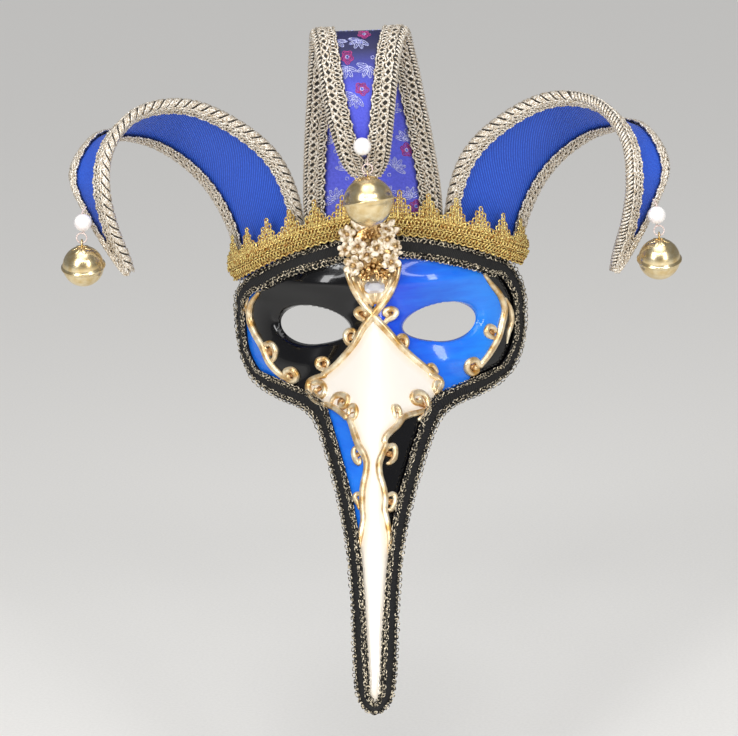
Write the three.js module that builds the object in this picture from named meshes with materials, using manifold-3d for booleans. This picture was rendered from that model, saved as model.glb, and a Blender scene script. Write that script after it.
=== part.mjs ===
// A carnival half mask with a long beak, a crown of three arched ribbon horns and three jingle bells.
// Millimetres. The mask looks along -Y, +X is the viewer's right and +Z is up.
// The origin is where the inside of the mask sits on the bridge of the wearer's nose.

import * as THREE from 'three';
import { mergeVertices } from 'three/addons/utils/BufferGeometryUtils.js';
import Module from 'manifold-3d';

const wasm = await Module();
wasm.setup();

// Clearance between neighbouring pieces, the bed of glue under what lies on the shell, and the moulded wall.
const FIT = 0.4;
const GLUE = 0.8;
const WALL = 2;

// The face: a half ellipse in plan, leaning back above the eyes, with swellings and hollows.
const FACE_FRONT = 4;
const HEAD_HALF_WIDTH = 90;
const HEAD_DEPTH = 78;
const HEAD_PLAN_END = 0.985;
const FOREHEAD_START = 8;
const FOREHEAD_LEAN = 0.14;
const SWELLS = [
  { part: 'brow', x: 36, z: 22, wide: 30, tall: 9, depth: -5 },
  { part: 'eye socket', x: 38, z: 0, wide: 20, tall: 11, depth: 6 },
  { part: 'cheek', x: 46, z: -28, wide: 24, tall: 11, depth: -4 },
];

// The line of the nose and beak from the forehead to below the tip, and the wedge on both its sides.
const RIDGE = [
  { z: 34, y: 16 },
  { z: 16, y: 5.5 },
  { z: 0, y: -2 },
  { z: -20, y: -17 },
  { z: -40, y: -37 },
  { z: -80, y: -72 },
  { z: -120, y: -102 },
  { z: -160, y: -128 },
  { z: -200, y: -150 },
];
const BEAK_SLOPE = 1.25;
const BEAK_ROUNDING = 7;
const NOSE_FILLET = 11;

// The rim of the shell, one row for each level: half width, its height there, and the height at the middle.
const RIM = [
  { level: 0, x: 79, z: 23, mid: 51 },
  { level: 1, x: 83, z: 8, mid: 33 },
  { level: 2, x: 83.8, z: -8, mid: 16 },
  { level: 3, x: 82, z: -25, mid: 0 },
  { level: 4, x: 74, z: -40, mid: -13 },
  { level: 5, x: 59, z: -47.6, mid: -26 },
  { level: 6, x: 45.5, z: -50, mid: -36 },
  { level: 7, x: 35, z: -54, mid: -46 },
  { level: 8, x: 28.2, z: -65, mid: -58 },
  { level: 9, x: 21.6, z: -81, mid: -76 },
  { level: 10, x: 16.2, z: -98, mid: -95 },
  { level: 11, x: 12.4, z: -116, mid: -114 },
  { level: 12, x: 10.4, z: -136, mid: -135 },
  { level: 13, x: 9.6, z: -152, mid: -151.5 },
  { level: 14, x: 8.6, z: -172, mid: -172 },
  { level: 15, x: 6.8, z: -182, mid: -182.5 },
  { level: 16, x: 3, z: -186.6, mid: -187 },
];
const FACE_LEVELS = 9;
const SHELL_COLUMNS = 10;
const COLUMN_CROWDING = 1.3;

// Eye holes: egg shaped, blunt towards the temple.
const EYE = { x: 38, z: -4.5, halfWidth: 21, halfHeight: 9.8, blunt: 0.16, sides: 26 };

// The galloon on the rim: its upper line on the forehead, and its width at a few heights.
const TRIM_TOP = 48.5;
const TRIM_TOP_BEND = 0.0044;
const TRIM_TOP_TILT = 0.033;
const TRIM_TOP_REACH = 76;
const TRIM_TOP_STOPS = 8;
const TRIM_OVERHANG = 1;
const TRIM_THICK = 1.6;
const TRIM_WIDTH = [
  { z: 50, width: 12 },
  { z: 10, width: 11.5 },
  { z: -40, width: 10 },
  { z: -110, width: 9 },
  { z: -160, width: 8.5 },
  { z: -188, width: 5 },
];
const TRIM_STATIONS = 82;
const TRIM_COLUMNS = 3;
const TRIM_PROBE = 3;
const TRIM_FIRST_LEVEL = 1;

// The gold lace that stands on the galloon.
const LACE = { points: 13, reach: 82, thick: 1.5, band: 13, tip: 26, foot: 3.4, clear: 7.6, flare: 8, lift: 0.5 };
const LACE_HOLE = { from: 0.26, to: 0.74, low: 14.2, high: 21.6 };

// Ribbon horns and the braid folded over their edges.
const RIBBON_THICK = 2;
const BRAID = { thick: 1.5, leg: 11, start: 0.045, slack: 0.5 };
const BRAID_OVER = BRAID.slack + BRAID.thick;
const RIBBON_ROWS = 17;
const RIBBON_END = 0.94;
const BRAID_LAST = 0.972;
const CROWN_ROUND = { hold: 0.045, end: 0.3 };
const HORN_LIFT = 1;

// A side horn's two trimmed edges from the lace to the tip. The left horn is the right one's mirror image,
// except that towards the tip the right one sags a little and the left one rises.
const SIDE_SAG = 2.8;
const SIDE_HORN_FOOT = { inner: 42, outer: 83.5 };
const SIDE_HORN = [
  { ax: 42, ay: 20, az: 61, bx: 85.5, by: 57, bz: 37 },
  { ax: 53, ay: 12.5, az: 95, bx: 94.5, by: 50, bz: 63.5 },
  { ax: 76, ay: 4, az: 117.5, bx: 108.5, by: 39, bz: 85 },
  { ax: 103, ay: -6, az: 130, bx: 127, by: 28, bz: 100.5 },
  { ax: 127.5, ay: -21, az: 127, bx: 144.5, by: 13, bz: 108 },
  { ax: 142, ay: -39, az: 108.5, bx: 158, by: -11, bz: 109 },
  { ax: 144, ay: -48, az: 87, bx: 167.5, by: -29, bz: 92 },
  { ax: 141.5, ay: -46, az: 65.5, bx: 160, by: -31, bz: 71 },
  { ax: 136, ay: -37, az: 43, bx: 144.5, by: -31, bz: 42 },
  { ax: 135, ay: -33, az: 33.5, bx: 137, by: -32, bz: 33 },
];

// The centre horn's sections from the lace over the arch to the tip.
const CENTRE_HORN_FOOT = 38.5;
const CENTRE_HORN = [
  { x: -0.5, y: 19, z: 71, half: 39.6 },
  { x: -1.2, y: 12, z: 104, half: 36.5 },
  { x: -1.8, y: 6, z: 131, half: 33 },
  { x: -2.5, y: 0, z: 153, half: 30 },
  { x: -2.8, y: -14, z: 168, half: 27 },
  { x: -3, y: -30, z: 158, half: 23.5 },
  { x: -3, y: -35, z: 134, half: 20 },
  { x: -2.2, y: -31, z: 108, half: 15.8 },
  { x: -1.5, y: -26, z: 95, half: 12.4 },
  { x: -1, y: -22, z: 86, half: 6.5 },
];

// Bells, the beads above them and the thread that carries them.
const BELL_WALL = 1;
const BELL_SIDES = 12;
const BELL_STEP = { outside: 30, inside: 45 };
const BELL_SEAM = { out: 0.9, half: 0.9 };
const BELL_SLIT = { wide: 2.2, share: 0.78 };
const STAPLE = { ring: 1.75, wire: 0.5, sunk: 0.25 };
const WIRE_SIDES = 5;
const RING_SIDES = 10;
const THREAD_RADIUS = 0.55;
const THREAD_STEPS = 8;
const LOOP_RADIUS = 2.8;
const BEAD = { radius: 5, bore: 0.95, sides: 10, steps: 6 };
const SIDE_BELL_RADIUS = 11.6;
const CENTRE_BELL_RADIUS = 14;
const SIDE_BEAD_AT = { t: 0.8, across: 0.66, stand: 9.6 };
const CENTRE_BEAD_AT = { t: 0.8, across: 0.5, stand: 6.4 };
const CENTRE_LOOP_AT = { t: 0.845, across: 0.58, stand: 12.5 };
const SIDE_LOOP = { out: 1.2, below: 0.9 };
const SIDE_BELL_LEAN = THREE.MathUtils.degToRad(18);
const CENTRE_BELL_LEAN = THREE.MathUtils.degToRad(-8);
const CENTRE_BELL_ROLL = THREE.MathUtils.degToRad(-8);

// Gilt relief: strokes on the shell as points across and up, with their widths.
const RELIEF_HIGH = 2.2;
const NOSE_ARM = {
  wide: [3.4, 4.2, 2.4],
  points: [[-12.5, 24], [-7, 14], [-1, 6], [4, -3], [11, -13], [19, -23], [27, -30.4], [34, -35.4], [35.5, -38.4]],
};
const NOSE_CURL = { wide: [2.4, 2.8, 2], points: [[-2.5, 3], [-5.5, 6.5], [-9.4, 5.5], [-9.6, 2.2], [-7.2, 2.2]] };
const NOSE_LEAVES = [
  { wide: [1.2, 3, 0.8], points: [[-9, -9.5], [-12.5, -8.6], [-15.5, -6.5]] },
  { wide: [1.2, 3, 0.8], points: [[-27.5, -29.6], [-31, -28], [-33, -24.5]] },
];
const TEMPLE_STROKES = [
  { wide: [1.8, 3.6, 2.4], points: [[66.8, 14.2], [73.6, 3], [75, -7], [70.5, -20], [64, -29], [57.5, -35.4]] },
  { wide: [2.6, 2.4, 1.8], points: [[58, -35.1], [53.6, -36.2], [52.6, -32.8], [55.2, -32]] },
  { wide: [1.2, 2.6, 0.8], points: [[71, -19], [67.5, -18.2], [64.5, -15.6]] },
  { wide: [1.2, 2.4, 0.8], points: [[74.6, -5], [77.2, -1], [76.8, 4]] },
];
const BEAK_STROKES = [
  {
    wide: [2.6, 3.4, 3],
    points: [[33.4, -40], [31.4, -43.6], [25.5, -45.8], [19, -48], [13.2, -51.4], [9.6, -57], [7.4, -62], [4.8, -67]],
  },
  {
    wide: [3, 3.2, 1.2],
    points: [[5, -66.4], [3.6, -72.5], [5, -79], [7.2, -84.6], [6.2, -92], [6.6, -99.5], [7, -106], [5.7, -115]],
  },
  { wide: [1.4, 2.8, 1.6], points: [[22, -48.2], [24.2, -44], [20.8, -41.4], [18.8, -43.6]] },
  { wide: [1.4, 2.8, 0.8], points: [[13.6, -51], [12.6, -47.8], [12.4, -44.4]] },
  { wide: [1.4, 2.6, 0.8], points: [[7.2, -62.4], [8.4, -64.6], [9.6, -67.6]] },
  { wide: [1.4, 2.6, 0.8], points: [[6.8, -84], [8.6, -86], [9.6, -89]] },
];
const STROKE_STEP = 6;

// The cast spray on the brow, its leaves in two fans, and the crystal below it.
const SPRAY = { z: 42.5, lift: 0.4, deep: 7, boss: 8.5 };
const SPRAY_FANS = [
  { leaves: 5, from: -62, to: 62, root: 3, length: 20, wide: 7.5, deep: 5.5 },
  { leaves: 4, from: 128, to: 232, root: 2, length: 15.5, wide: 7, deep: 5 },
];
const SPRAY_LEAF = { shares: [0, 0.45, 1], startTurn: 0.18, fullTurn: 0.8, lower: 0.45, least: 0.3 };
const JEWEL = { z: 19.4, wide: 11.6, tall: 7, deep: 3.6, corner: 2, table: 0.62, girdle: 0.45 };

const MATERIALS = {
  enamel: { color: 0x1740b8, roughness: 0.2, metalness: 0 },
  galloon: { color: 0x1b1a1c, roughness: 0.75, metalness: 0.1 },
  lace: { color: 0xd2a24a, roughness: 0.42, metalness: 0.85 },
  ribbon: { color: 0x1f3fa8, roughness: 0.7, metalness: 0 },
  brocade: { color: 0x4a45b4, roughness: 0.5, metalness: 0 },
  braid: { color: 0xd8cba4, roughness: 0.45, metalness: 0.7 },
  gilt: { color: 0xd9ad55, roughness: 0.28, metalness: 1 },
  bell: { color: 0xe0b84e, roughness: 0.14, metalness: 1 },
  thread: { color: 0xe8d8d2, roughness: 0.6, metalness: 0 },
  pearl: { color: 0xf6f1ee, roughness: 0.22, metalness: 0 },
  spray: { color: 0xe6d6b4, roughness: 0.4, metalness: 0.5 },
  crystal: { color: 0xdfe6ea, roughness: 0.05, metalness: 0 },
};

const mask = new THREE.Group();

function addPiece(name, finish, geometry) {
  const mesh = new THREE.Mesh(geometry, new THREE.MeshStandardMaterial(MATERIALS[finish]));
  mesh.name = name;
  mask.add(mesh);
}

// Reads a table between its rows on a smooth curve; key is the column that rises or falls all the way.
function readTable(table, key, wanted) {
  const first = table[0][key];
  const last = table[table.length - 1][key];
  const at = THREE.MathUtils.clamp(wanted, Math.min(first, last), Math.max(first, last));
  let i = 0;
  while (i < table.length - 2 && (at - table[i + 1][key]) * (last - first) > 0) {
    i += 1;
  }
  const span = table[i + 1][key] - table[i][key];
  const t = (at - table[i][key]) / span;
  const slope = (row, column) => {
    const before = table[Math.max(row - 1, 0)];
    const after = table[Math.min(row + 1, table.length - 1)];
    return span * (after[column] - before[column]) / (after[key] - before[key]);
  };
  const row = {};
  for (const column of Object.keys(table[i])) {
    const start = table[i][column] * (2 * t ** 3 - 3 * t ** 2 + 1) + slope(i, column) * (t ** 3 - 2 * t ** 2 + t);
    const end = table[i + 1][column] * (3 * t ** 2 - 2 * t ** 3) + slope(i + 1, column) * (t ** 3 - t ** 2);
    row[column] = start + end;
  }
  return row;
}

// Depth of the mask's outer surface at a place across and up.
function faceDepth(x, z) {
  const plan = Math.min(Math.abs(x) / HEAD_HALF_WIDTH, HEAD_PLAN_END);
  let face = FACE_FRONT + HEAD_DEPTH * (1 - Math.sqrt(1 - plan * plan));
  face += FOREHEAD_LEAN * Math.max(z - FOREHEAD_START, 0);
  for (const swell of SWELLS) {
    const across = (Math.abs(x) - swell.x) / swell.wide;
    const up = (z - swell.z) / swell.tall;
    face += swell.depth * Math.exp(-across * across - up * up);
  }
  const wedge = BEAK_SLOPE * (Math.hypot(x, BEAK_ROUNDING) - BEAK_ROUNDING);
  const nose = readTable(RIDGE, 'z', z).y + wedge;
  const near = Math.max(NOSE_FILLET - Math.abs(face - nose), 0) / NOSE_FILLET;
  return Math.min(face, nose) - near * near * NOSE_FILLET / 4;
}

function faceNormal(x, z) {
  const step = 0.2;
  const acrossSlope = (faceDepth(x + step, z) - faceDepth(x - step, z)) / (2 * step);
  const upSlope = (faceDepth(x, z + step) - faceDepth(x, z - step)) / (2 * step);
  return new THREE.Vector3(acrossSlope, -1, upSlope).normalize();
}

// A point of the mask's outer surface, moved out of it by a distance.
function onFace(x, z, out) {
  return new THREE.Vector3(x, faceDepth(x, z), z).addScaledVector(faceNormal(x, z), out);
}

function geometryFrom(points, triangles) {
  const geometry = new THREE.BufferGeometry();
  geometry.setAttribute('position', new THREE.Float32BufferAttribute(points.flatMap((p) => [p.x, p.y, p.z]), 3));
  geometry.setIndex(triangles.flat());
  return geometry;
}

function positionsOnly(geometry) {
  const bare = geometry.clone();
  bare.deleteAttribute('normal');
  bare.deleteAttribute('uv');
  return mergeVertices(bare, 1e-4);
}

function solidOf(geometry) {
  const bare = positionsOnly(geometry);
  const vertProperties = new Float32Array(bare.attributes.position.array);
  const triVerts = new Uint32Array(bare.index.array);
  return new wasm.Manifold(new wasm.Mesh({ numProp: 3, vertProperties, triVerts }));
}

function geometryOf(solid) {
  const { vertProperties, triVerts } = solid.getMesh();
  const geometry = new THREE.BufferGeometry();
  geometry.setAttribute('position', new THREE.BufferAttribute(new Float32Array(vertProperties), 3));
  geometry.setIndex(new THREE.BufferAttribute(new Uint32Array(triVerts), 1));
  return geometry;
}

const joined = (geometries) => geometryOf(geometries.map(solidOf).reduce((whole, next) => whole.add(next)));

function mirrored(geometry) {
  const copy = positionsOnly(geometry);
  copy.scale(-1, 1, 1);
  const order = copy.index.array;
  for (let i = 0; i < order.length; i += 3) {
    [order[i], order[i + 1]] = [order[i + 1], order[i]];
  }
  return copy;
}

// A net is a flat piece of points and triangles. Laid on two surfaces and closed round its edges it is a wall.
// Seen from the front, a grid's columns run to the right and its rows run down.
function gridNet(columns, rows, place, closed = false) {
  const points = [];
  const triangles = [];
  const wraps = closed ? rows : rows - 1;
  for (let j = 0; j < rows; j += 1) {
    for (let i = 0; i < columns; i += 1) {
      points.push(place(i, j));
    }
  }
  for (let j = 0; j < wraps; j += 1) {
    for (let i = 0; i < columns - 1; i += 1) {
      const a = j * columns + i;
      const b = ((j + 1) % rows) * columns + i;
      triangles.push([a, b + 1, a + 1], [a, b, b + 1]);
    }
  }
  return { points, triangles };
}

function wallFromNet(net, front, back) {
  const count = net.points.length;
  const points = [...net.points.map(front), ...net.points.map(back)];
  const triangles = [];
  const edges = new Set();
  for (const [a, b, c] of net.triangles) {
    triangles.push([a, b, c], [a + count, c + count, b + count]);
    edges.add(`${a} ${b}`).add(`${b} ${c}`).add(`${c} ${a}`);
  }
  for (const edge of edges) {
    const [a, b] = edge.split(' ').map(Number);
    if (!edges.has(`${b} ${a}`)) {
      triangles.push([b, a, a + count], [b, a + count, b + count]);
    }
  }
  return geometryFrom(points, triangles);
}

// A solid through rings of points that run the same way; caps names the section's triangles.
function loft(rings, caps) {
  const sides = rings[0].length;
  const last = (rings.length - 1) * sides;
  const triangles = [];
  for (let r = 0; r < rings.length - 1; r += 1) {
    for (let i = 0; i < sides; i += 1) {
      const a = r * sides + i;
      const b = r * sides + (i + 1) % sides;
      triangles.push([a, b, b + sides], [a, b + sides, a + sides]);
    }
  }
  for (const [a, b, c] of caps) {
    triangles.push([a, c, b], [a + last, b + last, c + last]);
  }
  return geometryFrom(rings.flat(), triangles);
}

// Triangles of a flat outline, in the order in which its points run.
function capsOf(outline) {
  const turned = THREE.ShapeUtils.isClockWise(outline);
  return THREE.ShapeUtils.triangulateShape(outline, []).map(([a, b, c]) => (turned ? [a, c, b] : [a, b, c]));
}

// The shell: a grid from rim to rim, two rows to a level on the face and one on the beak, laid on the outer
// surface and a wall's thickness behind it, with the eyes cut out.
function shellPlace(u, level) {
  const rim = readTable(RIM, 'level', level);
  return { x: rim.x * u, z: rim.mid + (rim.z - rim.mid) * u * u };
}

function makeShell() {
  const columns = 2 * SHELL_COLUMNS + 1;
  const rows = RIM.length + FACE_LEVELS;
  const net = gridNet(columns, rows, (i, j) => {
    const step = i / SHELL_COLUMNS - 1;
    const u = Math.sign(step) * Math.abs(step) ** COLUMN_CROWDING;
    return shellPlace(u, Math.max(j / 2, j - FACE_LEVELS));
  });
  const wall = wallFromNet(net, (p) => onFace(p.x, p.z, 0), (p) => onFace(p.x, p.z, -WALL));
  let shell = solidOf(wall);
  for (const side of [-1, 1]) {
    const outline = [];
    for (let i = 0; i < EYE.sides; i += 1) {
      const turn = 2 * Math.PI * i / EYE.sides;
      const rise = EYE.halfHeight * Math.sin(turn) * (1 + EYE.blunt * side * Math.cos(turn));
      outline.push(new THREE.Vector2(side * EYE.x + EYE.halfWidth * Math.cos(turn), rise));
    }
    const cutter = new THREE.ExtrudeGeometry(new THREE.Shape(outline), { depth: HEAD_DEPTH * 2, bevelEnabled: false });
    cutter.rotateX(Math.PI / 2);
    cutter.translate(0, HEAD_DEPTH, EYE.z);
    shell = shell.subtract(solidOf(cutter));
  }
  return geometryOf(shell);
}

// The galloon: a closed band inside the trim line, measured along the surface.
const trimTop = (x) => TRIM_TOP + TRIM_TOP_TILT * x - TRIM_TOP_BEND * x * x;

function trimLine() {
  const half = (side) => {
    const places = [];
    for (let i = 1; i <= TRIM_TOP_STOPS; i += 1) {
      const x = side * TRIM_TOP_REACH * i / TRIM_TOP_STOPS;
      places.push([x, trimTop(x)]);
    }
    for (let level = TRIM_FIRST_LEVEL; level < RIM.length; level += 0.5) {
      const rim = readTable(RIM, 'level', level);
      places.push([side * (rim.x + TRIM_OVERHANG), rim.z]);
    }
    return places;
  };
  const beakEnd = [0, RIM[RIM.length - 1].mid - TRIM_OVERHANG];
  const outline = [[0, trimTop(0)], ...half(1), beakEnd, ...half(-1).reverse()];
  const points = outline.map(([x, z]) => new THREE.Vector3(x, 0, z));
  return new THREE.CatmullRomCurve3(points, true, 'centripetal');
}

function makeEdgeBraid() {
  const line = trimLine();
  const net = gridNet(TRIM_COLUMNS, TRIM_STATIONS, (i, j) => {
    const at = line.getPointAt(j / TRIM_STATIONS);
    const along = line.getTangentAt(j / TRIM_STATIONS);
    const inward = { x: along.z, z: -along.x };
    const middle = { x: at.x + inward.x * TRIM_PROBE, z: at.z + inward.z * TRIM_PROBE };
    const rise = faceDepth(middle.x + inward.x, middle.z + inward.z) - faceDepth(middle.x, middle.z);
    const width = readTable(TRIM_WIDTH, 'z', at.z).width / Math.hypot(1, rise);
    const reach = width * (1 - i / (TRIM_COLUMNS - 1));
    return { x: at.x + inward.x * reach, z: at.z + inward.z * reach };
  }, true);
  return wallFromNet(net, (p) => onFace(p.x, p.z, GLUE + TRIM_THICK), (p) => onFace(p.x, p.z, GLUE));
}

// The crown line, just above the galloon on the forehead, carries the lace and the feet of the horns.
function onCrown(x, rise, out) {
  const foot = onFace(x, trimTop(x), 0);
  const outward = faceNormal(x, trimTop(x)).setZ(0).normalize();
  const up = new THREE.Vector3(0, FOREHEAD_LEAN, 1);
  return foot.addScaledVector(up, rise).addScaledVector(outward, out);
}

// The lace: a band with a pierced point on each repeat, standing clear of the horns behind it.
function makeCrownLace() {
  const stops = Array.from({ length: 2 * LACE.points + 1 }, (_, i) => LACE.reach * (i / LACE.points - 1));
  const line = new THREE.CatmullRomCurve3(stops.map((x) => onCrown(x, 0, 0)));
  const outline = [[0, 0], [0.5, 0], [1, 0], [1, LACE.band], [0.5, LACE.tip], [0, LACE.band]];
  const hole = [[LACE_HOLE.from, LACE_HOLE.low], [0.5, LACE_HOLE.high], [LACE_HOLE.to, LACE_HOLE.low]];
  const corners = [...outline, ...hole];
  const flat = (list) => list.map(([s, h]) => new THREE.Vector2(s * LACE.tip, h));
  const cell = THREE.ShapeUtils.triangulateShape(flat(outline), [flat(hole)]);
  const net = { points: [], triangles: [] };
  const known = new Map();
  const place = (s, h) => {
    const key = `${s.toFixed(4)} ${h}`;
    if (!known.has(key)) {
      known.set(key, net.points.length);
      net.points.push({ x: line.getPointAt(s / LACE.points).x, rise: h });
    }
    return known.get(key);
  };
  for (let repeat = 0; repeat < LACE.points; repeat += 1) {
    for (const triangle of cell) {
      net.triangles.push(triangle.map((i) => place(repeat + corners[i][0], corners[i][1])));
    }
  }
  const stand = (h) => LACE.foot + (LACE.clear - LACE.foot) * THREE.MathUtils.smoothstep(h, 0, LACE.flare);
  return outward(wallFromNet(
    net,
    (p) => onCrown(p.x, p.rise + LACE.lift, stand(p.rise) + LACE.thick),
    (p) => onCrown(p.x, p.rise + LACE.lift, stand(p.rise)),
  ));
}

// A ribbon between two trimmed edges; at its foot it keeps the round of the crown. A ribbon for the left side,
// -1, is drawn on the right and mirrored later.
function ribbonBetween(inner, outer, footInner, footOuter, side = 1) {
  const footOut = GLUE + RIBBON_THICK / 2;
  const foot = (across) => {
    const at = onCrown(side * THREE.MathUtils.lerp(footInner, footOuter, across), HORN_LIFT, footOut);
    return at.setX(at.x * side);
  };
  const innerEdge = new THREE.CatmullRomCurve3([foot(0), ...inner]);
  const outerEdge = new THREE.CatmullRomCurve3([foot(1), ...outer]);
  const width = (t) => innerEdge.getPoint(t).distanceTo(outerEdge.getPoint(t));
  const point = (t, across) => {
    const straight = innerEdge.getPoint(t).lerp(outerEdge.getPoint(t), across);
    const round = foot(across).sub(foot(0).lerp(foot(1), across));
    return straight.addScaledVector(round, 1 - THREE.MathUtils.smoothstep(t, CROWN_ROUND.hold, CROWN_ROUND.end));
  };
  const step = 0.002;
  const along = (t, across) => point(Math.min(t + step, 1), across).sub(point(Math.max(t - step, 0), across)).normalize();
  const normal = (t, across) => point(t, across + step).sub(point(t, across - step)).cross(along(t, across)).normalize();
  const raised = (t, across, out) => point(t, across).addScaledVector(normal(t, across), out);
  return { width, point, along, normal, raised };
}

const braidLeg = (width) => Math.min(BRAID.leg, width / 2 - BRAID.slack);
const ribbonRows = Array.from({ length: RIBBON_ROWS }, (_, i) => {
  return THREE.MathUtils.lerp(BRAID.start, RIBBON_END, i / (RIBBON_ROWS - 1));
});

function makeRibbon(ribbon) {
  const rows = [0, ...ribbonRows].reverse();
  const columns = 7;
  const net = gridNet(columns, rows.length, (i, j) => {
    const width = ribbon.width(rows[j]);
    const [under, leg] = [BRAID_OVER / width, braidLeg(width) / width];
    const open = (share) => THREE.MathUtils.lerp(leg, 1 - leg, share);
    const across = [under, leg, open(0.25), 0.5, open(0.75), 1 - leg, 1 - under][i];
    return { t: rows[j], across };
  });
  const half = RIBBON_THICK / 2;
  return outward(wallFromNet(net, (p) => ribbon.raised(p.t, p.across, half), (p) => ribbon.raised(p.t, p.across, -half)));
}

// The braid: a fold with two legs, swept down one edge of the ribbon, round the tip and up the other edge.
function makeHornBraid(ribbon) {
  const slot = RIBBON_THICK / 2 + BRAID.slack;
  const face = slot + BRAID.thick;
  const section = (leg) => [
    [0, face], [leg, face], [leg, slot], [BRAID.thick, slot],
    [BRAID.thick, -slot], [leg, -slot], [leg, -face], [0, -face],
  ];
  const ring = (t, side) => {
    const width = ribbon.width(t);
    return section(braidLeg(width)).map(([inwards, out]) => {
      const share = inwards / width;
      return ribbon.raised(t, side === 'inner' ? share : 1 - share, out);
    });
  };
  const rows = [...ribbonRows, BRAID_LAST];
  const along = ribbon.along(1, 0.5);
  const normal = ribbon.normal(1, 0.5);
  const tip = section(BRAID_OVER).map(([inwards, out]) => {
    return ribbon.point(1, 0.5).addScaledVector(along, -inwards).addScaledVector(normal, out);
  });
  const rings = [
    ...rows.map((t) => ring(t, 'inner')),
    tip,
    ...[...rows].reverse().map((t) => ring(t, 'outer')),
  ];
  return outward(loft(rings, capsOf(section(BRAID.leg).map(([a, b]) => new THREE.Vector2(a, b)))));
}

// Turns a closed mesh's faces outwards.
function outward(geometry) {
  const place = geometry.attributes.position;
  const order = geometry.index.array;
  const [a, b, c] = [new THREE.Vector3(), new THREE.Vector3(), new THREE.Vector3()];
  let volume = 0;
  for (let i = 0; i < order.length; i += 3) {
    a.fromBufferAttribute(place, order[i]);
    b.fromBufferAttribute(place, order[i + 1]);
    c.fromBufferAttribute(place, order[i + 2]);
    volume += a.dot(b.cross(c));
  }
  if (volume < 0) {
    for (let i = 0; i < order.length; i += 3) {
      [order[i], order[i + 1]] = [order[i + 1], order[i]];
    }
  }
  return geometry;
}

// A jingle bell below its pivot: a hollow ball with a rolled seam and a slit, hung on a staple round the pivot.
function makeBell(radius, lean, roll) {
  const ball = (size, seam) => {
    const profile = [];
    for (let degrees = -90; degrees <= 90; degrees += seam ? BELL_STEP.outside : BELL_STEP.inside) {
      const turn = THREE.MathUtils.degToRad(degrees);
      if (seam && degrees === 0) {
        profile.push(new THREE.Vector2(size, -BELL_SEAM.half), new THREE.Vector2(size + BELL_SEAM.out, 0));
        profile.push(new THREE.Vector2(size, BELL_SEAM.half));
      } else {
        profile.push(new THREE.Vector2(Math.abs(degrees) === 90 ? 0 : size * Math.cos(turn), size * Math.sin(turn)));
      }
    }
    return new THREE.LatheGeometry(profile, BELL_SIDES).rotateX(Math.PI / 2);
  };
  const slitLong = 2 * radius * BELL_SLIT.share;
  const slit = new THREE.BoxGeometry(slitLong, BELL_SLIT.wide, radius).translate(0, 0, -radius);
  const shell = solidOf(ball(radius, true)).subtract(solidOf(ball(radius - BELL_WALL, false))).subtract(solidOf(slit));
  const drop = radius + STAPLE.ring - STAPLE.sunk;
  const body = geometryOf(shell).rotateX(lean).rotateY(roll).translate(0, 0, -drop);
  const staple = new THREE.TorusGeometry(STAPLE.ring, STAPLE.wire, WIRE_SIDES, RING_SIDES).rotateY(Math.PI / 2);
  return joined([body, staple]);
}

function makeBead(at) {
  const profile = [];
  const end = Math.acos(BEAD.bore / BEAD.radius);
  for (let i = 0; i <= BEAD.steps; i += 1) {
    const turn = end * (2 * i / BEAD.steps - 1);
    profile.push(new THREE.Vector2(BEAD.radius * Math.cos(turn), BEAD.radius * Math.sin(turn)));
  }
  profile.push(profile[0].clone());
  return new THREE.LatheGeometry(profile, BEAD.sides).rotateX(Math.PI / 2).translate(at.x, at.y, at.z);
}

// A loop of thread in the plane that faces the viewer, with its tail along the given way.
function makeThread(loopCentre, way) {
  const loop = new THREE.TorusGeometry(LOOP_RADIUS, THREAD_RADIUS, WIRE_SIDES, RING_SIDES).rotateX(Math.PI / 2);
  loop.translate(loopCentre.x, loopCentre.y, loopCentre.z);
  const corners = Array.from({ length: WIRE_SIDES }, (_, i) => {
    const turn = 2 * Math.PI * i / WIRE_SIDES;
    return new THREE.Vector2(THREAD_RADIUS * Math.cos(turn), THREAD_RADIUS * Math.sin(turn));
  });
  const extrudePath = new THREE.CatmullRomCurve3(way);
  const tail = new THREE.ExtrudeGeometry(new THREE.Shape(corners), { steps: THREAD_STEPS, extrudePath });
  return joined([loop, tail]);
}

// A stroke of relief on the face: flat below, rounded above, swelling and thinning along its way.
function makeStroke(stroke) {
  const line = new THREE.CatmullRomCurve3(stroke.points.map(([x, z]) => new THREE.Vector3(x, 0, z)), false, 'centripetal');
  const steps = Math.max(Math.round(line.getLength() / STROKE_STEP), 3);
  const rings = Array.from({ length: steps + 1 }, (_, i) => {
    const share = i / steps;
    const at = line.getPointAt(share);
    const along = line.getTangentAt(share);
    const aside = { x: along.z, z: -along.x };
    const rise = faceDepth(at.x + aside.x, at.z + aside.z) - faceDepth(at.x, at.z);
    const [start, middle, end] = stroke.wide;
    const width = share < 0.5
      ? THREE.MathUtils.lerp(start, middle, share * 2)
      : THREE.MathUtils.lerp(middle, end, share * 2 - 1);
    const half = width / 2 / Math.hypot(1, rise);
    const high = GLUE + RELIEF_HIGH * Math.min(width / middle, 1);
    const point = (offset, out) => onFace(at.x + aside.x * offset * half, at.z + aside.z * offset * half, out);
    return [point(-1, GLUE), point(-0.5, high), point(0.5, high), point(1, GLUE)];
  });
  return outward(loft(rings, [[0, 1, 2], [0, 2, 3]]));
}

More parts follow.
